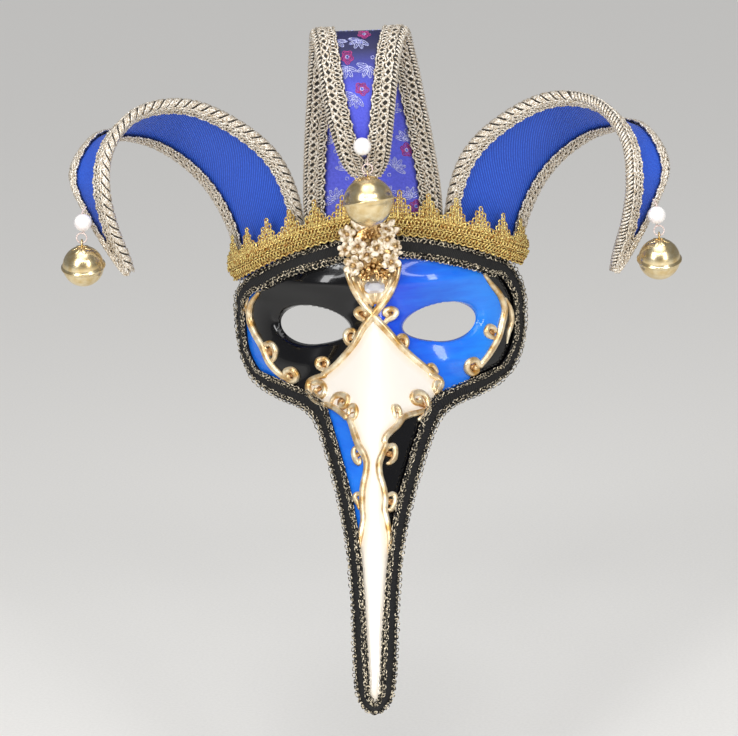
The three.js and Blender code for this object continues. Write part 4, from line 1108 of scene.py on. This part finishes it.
# %% Ribbons
RIBBON_THICK, RIBBON_INSET = 1.4, 2.2
RIBBON_GRID, RIBBON_UV_AT = (20, 130), 0.3
horn_pieces = {}
for name, (raised, width) in HORNS.items():
    middle_shares, middle_run = run_along(lambda t: raised(t, 0.5, 0), 0, RIBBON_END, 200)

    def place(a, b):
        inset = RIBBON_INSET / width(b * RIBBON_END)
        return raised(b * RIBBON_END, inset + (1 - 2 * inset) * a, 0)

    cloth = sheet_grid(*RIBBON_GRID, place, (float(width(np.array(RIBBON_UV_AT))), middle_run[-1]))
    area = sum(f.calc_area() for f in cloth.faces)
    bmesh.ops.recalc_face_normals(cloth, faces=cloth.faces)
    slot, finish = ("brocade", satin_ground) if name == "centre" else ("ribbon", blue_ribbon)
    piece = finish_piece(cloth, f"horn_ribbon_{name}", "mask", [finish], [f"horn_{name}"])
    add_thickness(piece, RIBBON_THICK, 0)
    widest = float(width(middle_shares).max())
    horn_pieces[name] = (piece, widest * MM, middle_run[-1] * MM, area * MM * MM)

# %% [markdown]
# ## Champagne braid on the horns
# A metal braid is folded over both edges of each horn. Slanted stitches wrap the fold: a thick rope on the
# left horn and on the right horn up to its bend, a fine coil beyond it and on the centre horn. Each leg
# has a loose plait, a net whose gaps show the ground and a beaded inner edge. A place on the braid is named
# by its way round the fold, s millimetres from the crest: negative on one face of the ribbon, positive on
# the other. The ground is a strip of grid under the threads, coloured near black as painted shade, so
# that the gaps between the threads read as shadow.

# %% Places on the braid
BRAID_LEG, BRAID_ROUND, BRAID_REACH = 11, 2.4, 12.4
LEG_SHARE = {"right": 0.78, "left": 0.78, "centre": 1.22}
QUARTER = BRAID_ROUND * math.pi / 2
SLIM = {"from": 0.42, "to": 0.55, "share": 0.35}


def on_braid(horn, edge, t, s, lift):
    """Points on the braid of an edge (0 or 1): share along, way round the fold and height off it."""
    raised, width = HORNS[horn]
    turn = np.clip(s / BRAID_ROUND, -math.pi / 2, math.pi / 2)
    leg = np.maximum(np.abs(s) - QUARTER, 0) * LEG_SHARE[horn]
    if edge == 1 and horn != "centre":
        leg = leg * (1 - SLIM["share"] * np.clip((t - SLIM["from"]) / (SLIM["to"] - SLIM["from"]), 0, 1))
    room = np.minimum(1, width(t) / 2 / (BRAID_LEG * LEG_SHARE[horn]))
    share = (BRAID_ROUND - (BRAID_ROUND + lift) * np.cos(turn) + leg) * room / width(t)
    return raised(t, share if edge == 0 else 1 - share, (BRAID_ROUND + lift) * np.sin(turn))


print("braid", 2 * BRAID_REACH, "mm wide, before it is folded")

# %% Threads along the legs
LEG_THREADS = [
    {"at": 4.4, "swing": 0.25, "pitch": 4.4, "phases": (0.7,), "thread": 0.6, "step": 0.8, "bead": 0.1},
    {"at": 6.1, "swing": 1.5, "pitch": 8.4, "phases": (0, np.pi), "thread": 0.75, "step": 0.7, "bead": 0.1},
    {"at": 8.2, "swing": 0.3, "pitch": 4.4, "phases": (1.5,), "thread": 0.55, "step": 0.8, "bead": 0.1},
    {"at": 9.9, "swing": 1.4, "pitch": 4.4, "phases": (0, np.pi), "thread": 0.46, "step": 0.6, "bead": 0},
    {"at": 11.9, "swing": 0.4, "pitch": 7.2, "phases": (0,), "thread": 0.62, "step": 0.5, "bead": 0.26},
]
LEG_LIFT, LEG_WEAVE = 0.3, 0.25
BRAID_STRAY, STRAY_RATE = 0.25, 0.9


def leg_strands(horn, edge, run, shares):
    """The threads that lie along both legs of the braid on an edge."""
    strands = []
    for thread in LEG_THREADS:
        walk = np.arange(0, run[-1], thread["step"])
        t = np.interp(walk, run, shares)
        radius = thread["thread"] + thread["bead"] * np.sin(np.pi * walk)
        for phase in thread["phases"]:
            wave = 2 * np.pi * walk / thread["pitch"] + phase
            stray = BRAID_STRAY * np.sin(STRAY_RATE * walk + 3 * phase)
            s = thread["at"] + thread["swing"] * np.sin(wave) + stray
            for face in (1, -1):
                points = on_braid(horn, edge, t, face * s, LEG_LIFT + LEG_WEAVE * np.cos(wave))
                strands.append((points, radius, False))
    return strands


print("threads on a leg:", sum(len(thread["phases"]) for thread in LEG_THREADS))

# %% Stitches over the fold
ROPE = {
    "pitch": 5.8, "bundle": (-1.35, 0, 1.35), "slant": 9.5, "reach": 4.6, "lift": 0,
    "radii": (0.35, 0.75, 0.9, 0.95, 0.9, 0.75, 0.35),
}
COIL = {
    "pitch": 2.2, "bundle": (0,), "slant": 5.2, "reach": 4.2, "lift": -0.1,
    "radii": (0.3, 0.8, 1.0, 1.05, 1.0, 0.8, 0.3),
}
CREST_STITCHES = {"right": (ROPE, COIL), "left": (ROPE, ROPE), "centre": (COIL, COIL)}


def crest_strands(horn, edge, run, shares):
    """The slanted stitches over the fold: one kind up to the middle of the edge, one beyond it."""
    strands = []
    half_run = run[-1] / 2
    for half, stitch in enumerate(CREST_STITCHES[horn]):
        along = np.linspace(-0.5, 0.5, len(stitch["radii"]))
        first = max(half * half_run, stitch["slant"] / 2)
        for middle in np.arange(first, (half + 1) * half_run, stitch["pitch"]):
            for aside in stitch["bundle"]:
                t = np.interp(middle + aside + stitch["slant"] * along, run, shares)
                points = on_braid(horn, edge, t, 2 * stitch["reach"] * along, stitch["lift"])
                strands.append((points, stitch["radii"], False))
    return strands


print("stitches in", ROPE["pitch"], "mm of rope:", len(ROPE["bundle"]))

# %% Lay the braid
GROUND_END, GROUND_GRID, GROUND_THICK = 0.985, (18, 130), 0.5
braid_pieces = {}
for name, (raised, width) in HORNS.items():
    strands = []
    both = bmesh.new()
    for edge in (0, 1):
        shares, run = run_along(lambda t: raised(t, edge, 0), BRAID_START, BRAID_LAST, 300)

        def place(a, b):
            t = np.interp(b * run[-1] * GROUND_END, run, shares)
            return on_braid(name, edge, t, (2 * a - 1) * BRAID_REACH, 0)

        strip = mesh_of(sheet_grid(*GROUND_GRID, place, (2 * BRAID_REACH, run[-1])), "strip")
        both.from_mesh(strip)
        bpy.data.meshes.remove(strip)
        strands += leg_strands(name, edge, run, shares) + crest_strands(name, edge, run, shares)
    bmesh.ops.recalc_face_normals(both, faces=both.faces)
    # The ground strip carries the painted shade between the threads.
    base = finish_piece(both, f"braid_shade_ground_{name}", "mask", [braid_shade_ground], [f"horn_braid_{name}"])
    add_thickness(base, GROUND_THICK, 0)
    braid_mesh = thread_mesh("braid", strands)
    threads = finish_piece(braid_mesh, f"braid_threads_{name}", "mask", [champagne_thread])
    braid_pieces[name] = [base, threads]

# %% [markdown]
# ## Brocade figures
# The centre horn is brocade: fans of silver leaves and ringed magenta flowers woven into the satin, with
# the figures in rows that swap sides. Floats of thread stand a little proud of the ground, so each leaf
# is an outline with a rib, laid as thread on both faces of the ribbon, and each flower is a few rings.

# %% Figures of the brocade
BROCADE_ROOM = 0.5
LEAF_LONG, LEAF_WIDE, FLOAT_THREAD = 6.5, 2.2, 0.3
brocade_raised, brocade_width = HORNS["centre"]
brocade_shares, brocade_run = run_along(lambda t: brocade_raised(t, 0.5, 0), 0, RIBBON_END, 300)
flower_turn = full_turn(24)


def on_brocade(along, across, face):
    """Points on one face of the centre ribbon, from millimetres along and across its free part."""
    t = np.interp(along, brocade_run, brocade_shares)
    width = brocade_width(t)
    room = np.maximum(width / 2 - BRAID_LEG, BROCADE_ROOM)
    return brocade_raised(t, 0.5 + np.clip(across, -room, room) / width, face * RIBBON_THICK / 2)


def leaf_threads(along, across, heading, face):
    """The outline and the rib of one leaf that starts at a place and points to a heading."""
    bend = full_turn(12)
    outline = (LEAF_LONG * (1 - np.cos(bend)) / 2, LEAF_WIDE / 2 * np.sin(bend), True)
    rib = (LEAF_LONG * np.linspace(0, 0.9, 5), np.zeros(5), False)
    threads = []
    for forth, aside, closed in (outline, rib):
        at = along + forth * math.cos(heading) - aside * math.sin(heading)
        off = across + forth * math.sin(heading) + aside * math.cos(heading)
        threads.append((on_brocade(at, off, face), FLOAT_THREAD, closed))
    return threads


def ring_thread(along, across, radius, face, thread):
    """A ring of thread round a place; the radius may change with the direction."""
    at, off = along + radius * np.cos(flower_turn), across + radius * np.sin(flower_turn)
    return on_brocade(at, off, face), thread, True


print("brocade", round(brocade_run[-1], 1), "mm along its middle")

# %% Leaves and flowers in rows
FAN_ROWS, FAN_FIRST, FAN_SPACING = 17, 6, 16.5
FAN_COLUMNS, FAN_ASIDE = range(-2, 3), 14.0
FAN_STRAY, FAN_LEAN = 2, 0.7
FAN_LEAVES = [-1.3, -0.65, 0, 0.65, 1.3]
FLOWER_RINGS = [(3.3, 0.36), (2.4, 0.32), (1.5, 0.3)]
FLOWER_EVERY, FLOWER_ASIDE, FLOWER_EYE = 2, 5.5, 0.9
PETAL_WAVE, RING_WAVE = 0.16, 0.1

leaves, petals = [], []
for row in range(FAN_ROWS):
    start = FAN_FIRST + row * FAN_SPACING
    room = float(brocade_width(np.interp(start, brocade_run, brocade_shares))) / 2 - BRAID_LEG
    for column in FAN_COLUMNS:
        across = (column + 0.5 * (row % 2)) * FAN_ASIDE + random.uniform(-FAN_STRAY, FAN_STRAY)
        lean = random.uniform(-FAN_LEAN, FAN_LEAN)
        if abs(across) > room:
            continue
        flower = (start - FLOWER_ASIDE * math.cos(lean), across - FLOWER_ASIDE * math.sin(lean))
        wave = PETAL_WAVE * np.cos(5 * flower_turn + lean) + RING_WAVE * np.cos(2 * flower_turn + 3 * lean)
        for face in (1, -1):
            for aside in FAN_LEAVES:
                leaves += leaf_threads(start, across, lean + aside, face)
            leaves.append(ring_thread(*flower, FLOWER_EYE, face, FLOAT_THREAD))
            if (row + column) % FLOWER_EVERY == 0:
                petals += [ring_thread(*flower, r * (1 + wave), face, thread) for r, thread in FLOWER_RINGS]
silver_float = grained(
    "silver lilac brocade float", {"Metallic": 0.4, "Roughness": 0.4, "Sheen Weight": 0.2},
    ("#7074c4", "#d6daf8"), FOIL_TURN, bump=0.2,
)
magenta_float = grained(
    "magenta brocade float", {"Roughness": 0.5, "Sheen Weight": 0.3}, ("#7d1060", "#c22a86"),
    FOIL_TURN, bump=0.2,
)
for name, strands, finish in (("leaves", leaves, silver_float), ("flowers", petals, magenta_float)):
    figures = finish_piece(thread_mesh(name, strands), f"brocade_{name}", "mask", [finish])
    braid_pieces["centre"].append(figures)

# %% [markdown]
# The horns are cloth. The size each was cut to, the widest width, the length along the middle and the area
# of the tapering cut, is kept with its piece; the loop below does nothing with it.

for name, (piece, wide, long, area) in horn_pieces.items():
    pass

# %% [markdown]
# ## Gold relief
# The scrolls are cast relief under gold paint: strokes that swell and thin, with curled ends. Each stroke
# is a smooth line on the face whose thickness follows its row of widths, partly sunk into the shell. A
# low mound of darker, browner gold lies inside every curl.

# %% Gilt finish
GILT_PATCH, GILT_SPREAD = 7, (0.35, 0.65)
GILT_RIPPLE, RIPPLE_STRENGTH, RIPPLE_DEPTH = 2.2, 0.25, 0.4

gilt, tree, shader = new_finish("gold painted relief", {"Metallic": 0.6, "Roughness": 0.3})
spot = object_place(tree)
# Patchy tone of the gold paint and painted highlights: the noise lifts the gold towards pale cream.
tone_and_highlight = ramp(tree, noise(tree, spot, 1 / (GILT_PATCH * MM), 4.0), *GILT_SPREAD)
link(tree, blend(tree, tone_and_highlight, "#c2954e", "#fff2d2"), shader, "Base Color")
ripple = noise(tree, spot, 1 / (GILT_RIPPLE * MM), 2.0)
add_bump(tree, shader, ripple, RIPPLE_STRENGTH, RIPPLE_DEPTH)
hollow_gold = grained(
    "darker gold in the hollows", {"Metallic": 0.5, "Roughness": 0.35}, ("#9a6430", "#dcae74"),
    2.0, bump=0.2,
)
print("gilt nodes:", len(tree.nodes))

# %% [markdown]
# A stroke is laid like a thread, only thicker and with a changing radius. Its underside is held inside
# the wall of the shell, because a casting that is glued on doesn't show at the back.

# %% Relief pieces
RELIEF_STEP = 0.7
RIDGE_SINK, WEB_SINK, HOLLOW_SINK = 0.2, -0.5, -0.7
SWELL, BURIED, STROKE_END = 1.35, 0.9, 0.55
HOLLOW_SHARE, HOLLOW_LEAN, CURL_CLOSE = 2.0, 0.3, 0.45


def relief_stroke(widths, points, sink):
    """A stroke of relief on the face as a thread of changing radius."""
    line = smooth_line(points)
    shares = even_shares(line, RELIEF_STEP)
    radius = np.interp(shares, np.linspace(0, 1, len(widths)), widths) * SWELL / 2
    radius = radius * np.clip(np.minimum(shares, 1 - shares) * len(shares) / 2 + STROKE_END, 0, 1)
    spots = line(shares)
    return on_face(spots[:, 0], spots[:, 1], radius * sink), radius, False


def hollow_of(points):
    """The low mound inside a curl: a short thick stroke through its middle."""
    middle = np.mean(points, 0)
    reach = np.linalg.norm(points - middle, axis=1).mean()
    lean = np.array([0, HOLLOW_LEAN * reach])
    return (HOLLOW_SHARE * reach,) * 2, [middle - lean, middle, middle + lean]


def is_curl(points):
    """A curl ends near where it began, for its length."""
    length = np.linalg.norm(np.diff(points, axis=0), axis=1).sum()
    return math.dist(points[0], points[-1]) < CURL_CLOSE * length


def bury(mesh):
    """Keeps the underside of the relief inside the wall of the shell."""
    spots = np.empty(len(mesh.vertices) * 3)
    mesh.vertices.foreach_get("co", spots)
    spots = spots.reshape(-1, 3)
    spots[:, 1] = np.minimum(spots[:, 1], face_depth(spots[:, 0], spots[:, 2]) + BURIED)
    mesh.vertices.foreach_set("co", spots.ravel())
    return mesh


hollows = []


def relief_piece(name, strokes, stands_for, webs=()):
    """A piece of relief from its strokes and webs; the hollows of its curls are kept for later."""
    strands = [relief_stroke(*stroke, RIDGE_SINK) for stroke in strokes]
    strands += [relief_stroke(*web, WEB_SINK) for web in webs]
    hollows.extend(relief_stroke(*hollow_of(points), HOLLOW_SINK) for _, points in strokes if is_curl(points))
    finish_piece(bury(thread_mesh(name, strands, sides=10)), name, "mask", [gilt], stands_for)


relief_piece("relief_nose", NOSE_STROKES, ["scroll_nose"], NOSE_WEBS)
for name in ("right", "left"):
    relief_piece(f"relief_temple_{name}", TEMPLE_STROKES[name], [f"scroll_temple_{name}"])
    relief_piece(f"relief_beak_{name}", BEAK_STROKES[name], [f"scroll_beak_{name}"])
finish_piece(bury(thread_mesh("hollows", hollows, sides=12)), "relief_hollows", "mask", [hollow_gold])

# %% [markdown]
# ## The brow ornament and its crystal
# A cast spray sits on the middle of the forehead: cream lacquered leaves and small flowers round a gilt
# rosette. Every leaf and petal is a sphere pressed flat, which is quick to place, and the spray is
# domed, so that the middle stands highest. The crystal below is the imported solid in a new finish.

# %% Places on the spray
SPRAY_Z, SPRAY_STAND, SPRAY_DOME = 42.5, 9.5, (5.0, 0.011)
spray_up = unit(np.array([0, FOREHEAD_LEAN, 1.0]))
spray_out = np.cross([1.0, 0, 0], spray_up)
spray_foot = on_crown(np.array([0.0]), SPRAY_Z - TRIM_TOP, SPRAY_STAND)[0]
spray_turn = Matrix(np.column_stack([[1, 0, 0], spray_up, spray_out]).tolist()).to_4x4()


def add_ball(bm, matrix):
    return bmesh.ops.create_uvsphere(bm, u_segments=10, v_segments=6, radius=1, matrix=matrix)


def press(bm, u, v, lift, size, finish, heading=0, tilt=0):
    """Adds a pressed sphere at a place across and up the spray, its length turned to a heading."""
    out = SPRAY_DOME[0] - SPRAY_DOME[1] * (u * u + v * v) + lift
    at = spray_foot + np.array([1, 0, 0]) * u + spray_up * v + spray_out * out
    shape = Matrix.Rotation(heading, 4, "Z") @ Matrix.Rotation(-tilt, 4, "Y") @ Matrix.Diagonal((*size, 1))
    made = add_ball(bm, Matrix.Translation(at) @ spray_turn @ shape)
    for face in {f for vert in made["verts"] for f in vert.link_faces}:
        face.material_index = finish


print("spray foot", spray_foot.round(1))

# %% Flowers and leaves of the spray
CREAM, GOLD = 0, 1
FLOWERS = [
    (-14.6, 9, 5.2, CREAM), (8.6, 5.5, 5.6, CREAM), (-16, 0, 4.6, CREAM), (-8.6, 2, 5.2, CREAM),
    (-11.6, -9, 6, CREAM), (10.4, -7.5, 5.8, CREAM), (13, 1.5, 3.8, CREAM), (2.4, 0.6, 4.8, CREAM),
    (-3.4, -2.8, 4.8, CREAM), (8, 11.6, 4.2, CREAM), (0, -9.4, 5, GOLD), (6.6, -14.4, 3.4, GOLD),
    (-5.2, -15, 3.6, GOLD), (-2.4, 8.8, 3.4, GOLD),
]
LEAVES = [
    ((-4, 8), (-12.5, 17.6), CREAM), ((-2, 10), (-7, 18.6), CREAM), ((4.5, 8), (13, 17), CREAM),
    ((6, 8), (16.4, 11.6), CREAM), ((-10, 4), (-17.6, 5), CREAM), ((10, -2), (17.4, -2.6), CREAM),
    ((-9, -10), (-13.4, -16), CREAM), ((11, -9), (13, -16), GOLD), ((2, -11), (2.4, -18.4), GOLD),
    ((-2, -11), (-6.4, -17.6), GOLD), ((1, 9), (2.6, 17.4), GOLD), ((6, -11), (8, -18), GOLD),
]
SPRAY_BASE = {"at": (-1, 0), "lift": -3.6, "size": (13, 15, 2.2)}
PETAL = {"count": 5, "out": 0.58, "lift": 0.1, "size": (0.52, 0.42, 0.2), "tilt": 0.5}
BUTTON = {"lift": 0.22, "size": (0.26, 0.26, 0.26)}
LEAF = {"lift": -0.8, "wide": 0.2, "thick": 0.9, "tilt": 0.12}

spray = bmesh.new()
press(spray, *SPRAY_BASE["at"], SPRAY_BASE["lift"], SPRAY_BASE["size"], GOLD)
for u, v, radius, finish in FLOWERS:
    spin = random.uniform(*ANY_WAY)
    petal_size, button_size = ([radius * share for share in part["size"]] for part in (PETAL, BUTTON))
    for k in range(PETAL["count"]):
        way = spin + k * 2 * math.pi / PETAL["count"]
        at = (u + PETAL["out"] * radius * math.cos(way), v + PETAL["out"] * radius * math.sin(way))
        press(spray, *at, PETAL["lift"] * radius, petal_size, finish, way, PETAL["tilt"])
    press(spray, u, v, BUTTON["lift"] * radius, button_size, GOLD)
for (u0, v0), (u1, v1), finish in LEAVES:
    long = math.hypot(u1 - u0, v1 - v0)
    size = (long / 2, long * LEAF["wide"], LEAF["thick"])
    heading = math.atan2(v1 - v0, u1 - u0)
    press(spray, (u0 + u1) / 2, (v0 + v1) / 2, LEAF["lift"], size, finish, heading, LEAF["tilt"])
cream = grained(
    "cream lacquered casting", {"Metallic": 0.1, "Roughness": 0.3, "Coat Weight": 0.3},
    ("#a98a56", "#fff1da"), 2.4, (0.36, 0.58), 0.2,
)
old_gold = grained(
    "gilt casting", {"Metallic": 1.0, "Roughness": 0.28}, ("#7a5024", "#ecc88c"), 1.6, bump=0.2,
)
finish_piece(spray, "brow_spray", "mask", [cream, old_gold], ["brow_ornament"])

# %% The crystal
crystal = grained(
    "foil backed crystal", {"Metallic": 0.4, "Roughness": 0.04, "Coat Weight": 1.0},
    ("#d9d6e2", "#ffffff"), 6.0,
)
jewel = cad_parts["brow_jewel"]
jewel.data.materials.clear()
jewel.data.materials.append(crystal)
print("crystal", [round(v / MM, 1) for v in jewel.dimensions], "mm")

# %% [markdown]
# ## Bells, beads and thread
# A jingle bell is two thin cups pressed together, so it has a rolled seam and, below, a slit. Its profile
# is drawn once and spun round the axis, the slit is cut by four planes and the wall gets its thickness
# inwards. The bell hangs by a staple in a loop of thread, with a white pearl bead above. The bell alone
# moves: it rides on its own body and swings on the loop.

# %% Shape of a bell
SPIN_STEPS, PROFILE_STEP, BELL_WALL = 56, 5, 0.8
SEAM = {"out": 0.9, "half": 0.9, "foot": 0.1, "flat": 0.35}
SLIT_WIDE, SLIT_SHARE = 2.2, 0.78
CAP = {"petals": 6, "polar": 19, "long": 0.2, "wide": 0.12, "thick": 0.35}


def turned(degrees, axis):
    return Matrix.Rotation(math.radians(degrees), 4, axis)


def spun(profile, steps=SPIN_STEPS):
    """A profile of distance from the axis and height, spun round the Z axis."""
    bm = bmesh.new()
    points = [bm.verts.new((r, 0, z)) for r, z in profile]
    edges = [bm.edges.new(pair) for pair in zip(points, points[1:])]
    turn = {"cent": (0, 0, 0), "axis": (0, 0, 1), "angle": 2 * math.pi, "steps": steps, "use_merge": True}
    bmesh.ops.spin(bm, geom=points + edges, **turn)
    bmesh.ops.remove_doubles(bm, verts=bm.verts, dist=0.001)
    bmesh.ops.recalc_face_normals(bm, faces=bm.faces)
    return bm


def bell_profile(radius):
    """Half the outline of a bell from bottom to top, with the rolled seam in place of the widest point."""
    foot, ridge = radius + SEAM["foot"], radius + SEAM["out"]
    seam = [(foot, -SEAM["half"]), (ridge, -SEAM["flat"]), (ridge, SEAM["flat"]), (foot, SEAM["half"])]
    profile = []
    for degrees in range(-90, 91, PROFILE_STEP):
        angle = math.radians(degrees)
        profile += seam if degrees == 0 else [(max(radius * math.cos(angle), 0), radius * math.sin(angle))]
    return profile


def cut_slit(ball, long, wide):
    """Cuts the slit below the seam: four planes part the faces and the ones between are deleted."""
    for normal, reach in (((0, 1, 0), wide), ((0, -1, 0), wide), ((1, 0, 0), long), ((-1, 0, 0), long)):
        lower = [f for f in ball.faces if f.calc_center_median().z < -SEAM["half"]]
        cut = lower + list({e for f in lower for e in f.edges}) + list({v for f in lower for v in f.verts})
        bmesh.ops.bisect_plane(ball, geom=cut, plane_co=Vector(normal) * reach, plane_no=normal)
    middles = [(f, f.calc_center_median()) for f in ball.faces]
    slit = [f for f, m in middles if m.z < -SEAM["half"] and abs(m.y) < wide and abs(m.x) < long]
    bmesh.ops.delete(ball, geom=slit, context="FACES")


def bell_ball(radius):
    """The bell's hollow ball about its own middle, with seam, slit and a cap of petals on top."""
    ball = spun(bell_profile(radius))
    cut_slit(ball, radius * SLIT_SHARE, SLIT_WIDE / 2)
    bmesh.ops.solidify(ball, geom=list(ball.faces), thickness=BELL_WALL)
    petal = Matrix.Diagonal((CAP["long"] * radius, CAP["wide"] * radius, CAP["thick"], 1))
    for k in range(CAP["petals"]):
        lie = turned(360 * k / CAP["petals"], "Z") @ turned(CAP["polar"], "Y")
        add_ball(ball, lie @ Matrix.Translation((0, 0, radius)) @ petal)
    return ball


print("points in a bell's profile:", len(bell_profile(10)))

# %% Hang the bells
BELLS = {
    "right": {"pivot": (161.185, -42.905, 52.905), "radius": 11.6, "lean": 18, "roll": 0},
    "left": {"pivot": (-161.184, -42.881, 57.199), "radius": 11.6, "lean": 18, "roll": 0},
    "centre": {"pivot": (0.437, -40.424, 91.335), "radius": 14, "lean": -8, "roll": -8},
}
STAPLE_RING, STAPLE_WIRE, STAPLE_SUNK, STAPLE_POINTS = 1.75, 0.5, 0.25, 24

bell_gold = grained(
    "polished gilt brass", {"Metallic": 1.0, "Roughness": 0.26}, ("#dcc088", "#f2e2ba"), 4.0, (0.3, 0.7),
)
for name, bell in BELLS.items():
    ball = bell_ball(bell["radius"])
    drop = bell["radius"] + STAPLE_RING - STAPLE_SUNK
    hang = Matrix.Translation(Vector(bell["pivot"]) - Vector((0, 0, drop)))
    hang = hang @ turned(bell["roll"], "Y") @ turned(bell["lean"], "X")
    bmesh.ops.transform(ball, matrix=hang, verts=ball.verts)
    ring = full_turn(STAPLE_POINTS)
    loop = np.array(bell["pivot"]) + STAPLE_RING * np.stack([0 * ring, np.sin(ring), np.cos(ring)], -1)
    ball.from_mesh(thread_mesh("staple", [(loop, STAPLE_WIRE, True)], sides=8))
    finish_piece(ball, f"jingle_bell_{name}", f"bell_{name}", [bell_gold], [f"bell_{name}"])

# %% [markdown]
# A bead is a drilled ball, and the thread is doubled: two strands go from the stitch in the horn through
# the bead and round the bell's staple. The strands are a fine twist, drawn here as two plain cords. The
# centre bell hangs straight from its stitch, with the bead beside it.

# %% Beads and thread loops
BEADS = {
    "right": {"middle": (159.985, -42.905, 64.405), "stitch": (158.315, -38.968, 72.675)},
    "left": {"middle": (-159.984, -42.881, 68.699), "stitch": (-158.309, -38.954, 76.819)},
    "centre": {"middle": (-2.2, -37.185, 106.356), "stitch": (0.436, -31.989, 100.352)},
}
BEAD_RADIUS, BEAD_BORE, BEAD_POINTS, BEAD_STEPS = 5, 0.95, 25, 40
LOOP_RADIUS, LOOP_POINTS, LOOP_SHOULDER = 2.8, 32, 0.7071
STRAND_RADIUS, STRAND_APART, STRAND_CLEAR, STRAND_POINTS = 0.36, 0.36, 0.55, 24
pearl = grained(
    "white pearl lacquer", {"Roughness": 0.2, "Coat Weight": 0.5, "Sheen Weight": 0.2},
    ("#efe6e6", "#fffdf8"), 3.0,
)
cotton = grained(
    "pinkish white twisted cotton", {"Roughness": 0.75, "Sheen Weight": 0.2}, ("#c9aca4", "#f6e9e4"),
    0.7, bump=0.2,
)
bore_angle = math.acos(BEAD_BORE / BEAD_RADIUS)
bead_angles = np.linspace(-bore_angle, bore_angle, BEAD_POINTS)
bead_profile = [(BEAD_RADIUS * math.cos(a), BEAD_RADIUS * math.sin(a)) for a in bead_angles]
for name, bead in BEADS.items():
    ball = spun(bead_profile + bead_profile[:1], BEAD_STEPS)
    bmesh.ops.translate(ball, vec=bead["middle"], verts=ball.verts)
    finish_piece(ball, f"pearl_bead_{name}", "mask", [pearl], [f"bead_{name}"])
    middle, stitch = np.array(bead["middle"]), np.array(bead["stitch"])
    loop = np.array(BELLS[name]["pivot"]) + np.array([0, 0, LOOP_RADIUS])
    turn = full_turn(LOOP_POINTS)
    ring = loop + LOOP_RADIUS * np.stack([np.sin(turn), 0 * turn, np.cos(turn)], -1)
    if name == "centre":
        way = [loop + [0, 0, LOOP_RADIUS], stitch]
    else:
        lean = np.array([np.sign(middle[0] - loop[0]), 0, 1]) * LOOP_RADIUS * LOOP_SHOULDER
        top = middle + [0, 0, BEAD_RADIUS + STRAND_CLEAR]
        way = [loop + lean, middle - [0, 0, BEAD_RADIUS], middle, top, stitch]
    tail = smooth_line(way)(np.linspace(0, 1, STRAND_POINTS))
    strands = []
    for shift in (-STRAND_APART, STRAND_APART):
        strands += [(ring + [0, shift, 0], STRAND_RADIUS, True), (tail + [0, shift, 0], STRAND_RADIUS, False)]
    cords = thread_mesh("thread", strands, sides=8)
    finish_piece(cords, f"bell_thread_loop_{name}", "mask", [cotton], [f"bell_thread_{name}"])

# %% [markdown]
# ## Size
# The box of the dressed mask is measured now and printed.

low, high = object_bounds()
print("size", [round((h - l) * 1000, 1) for l, h in zip(low, high)], "mm")
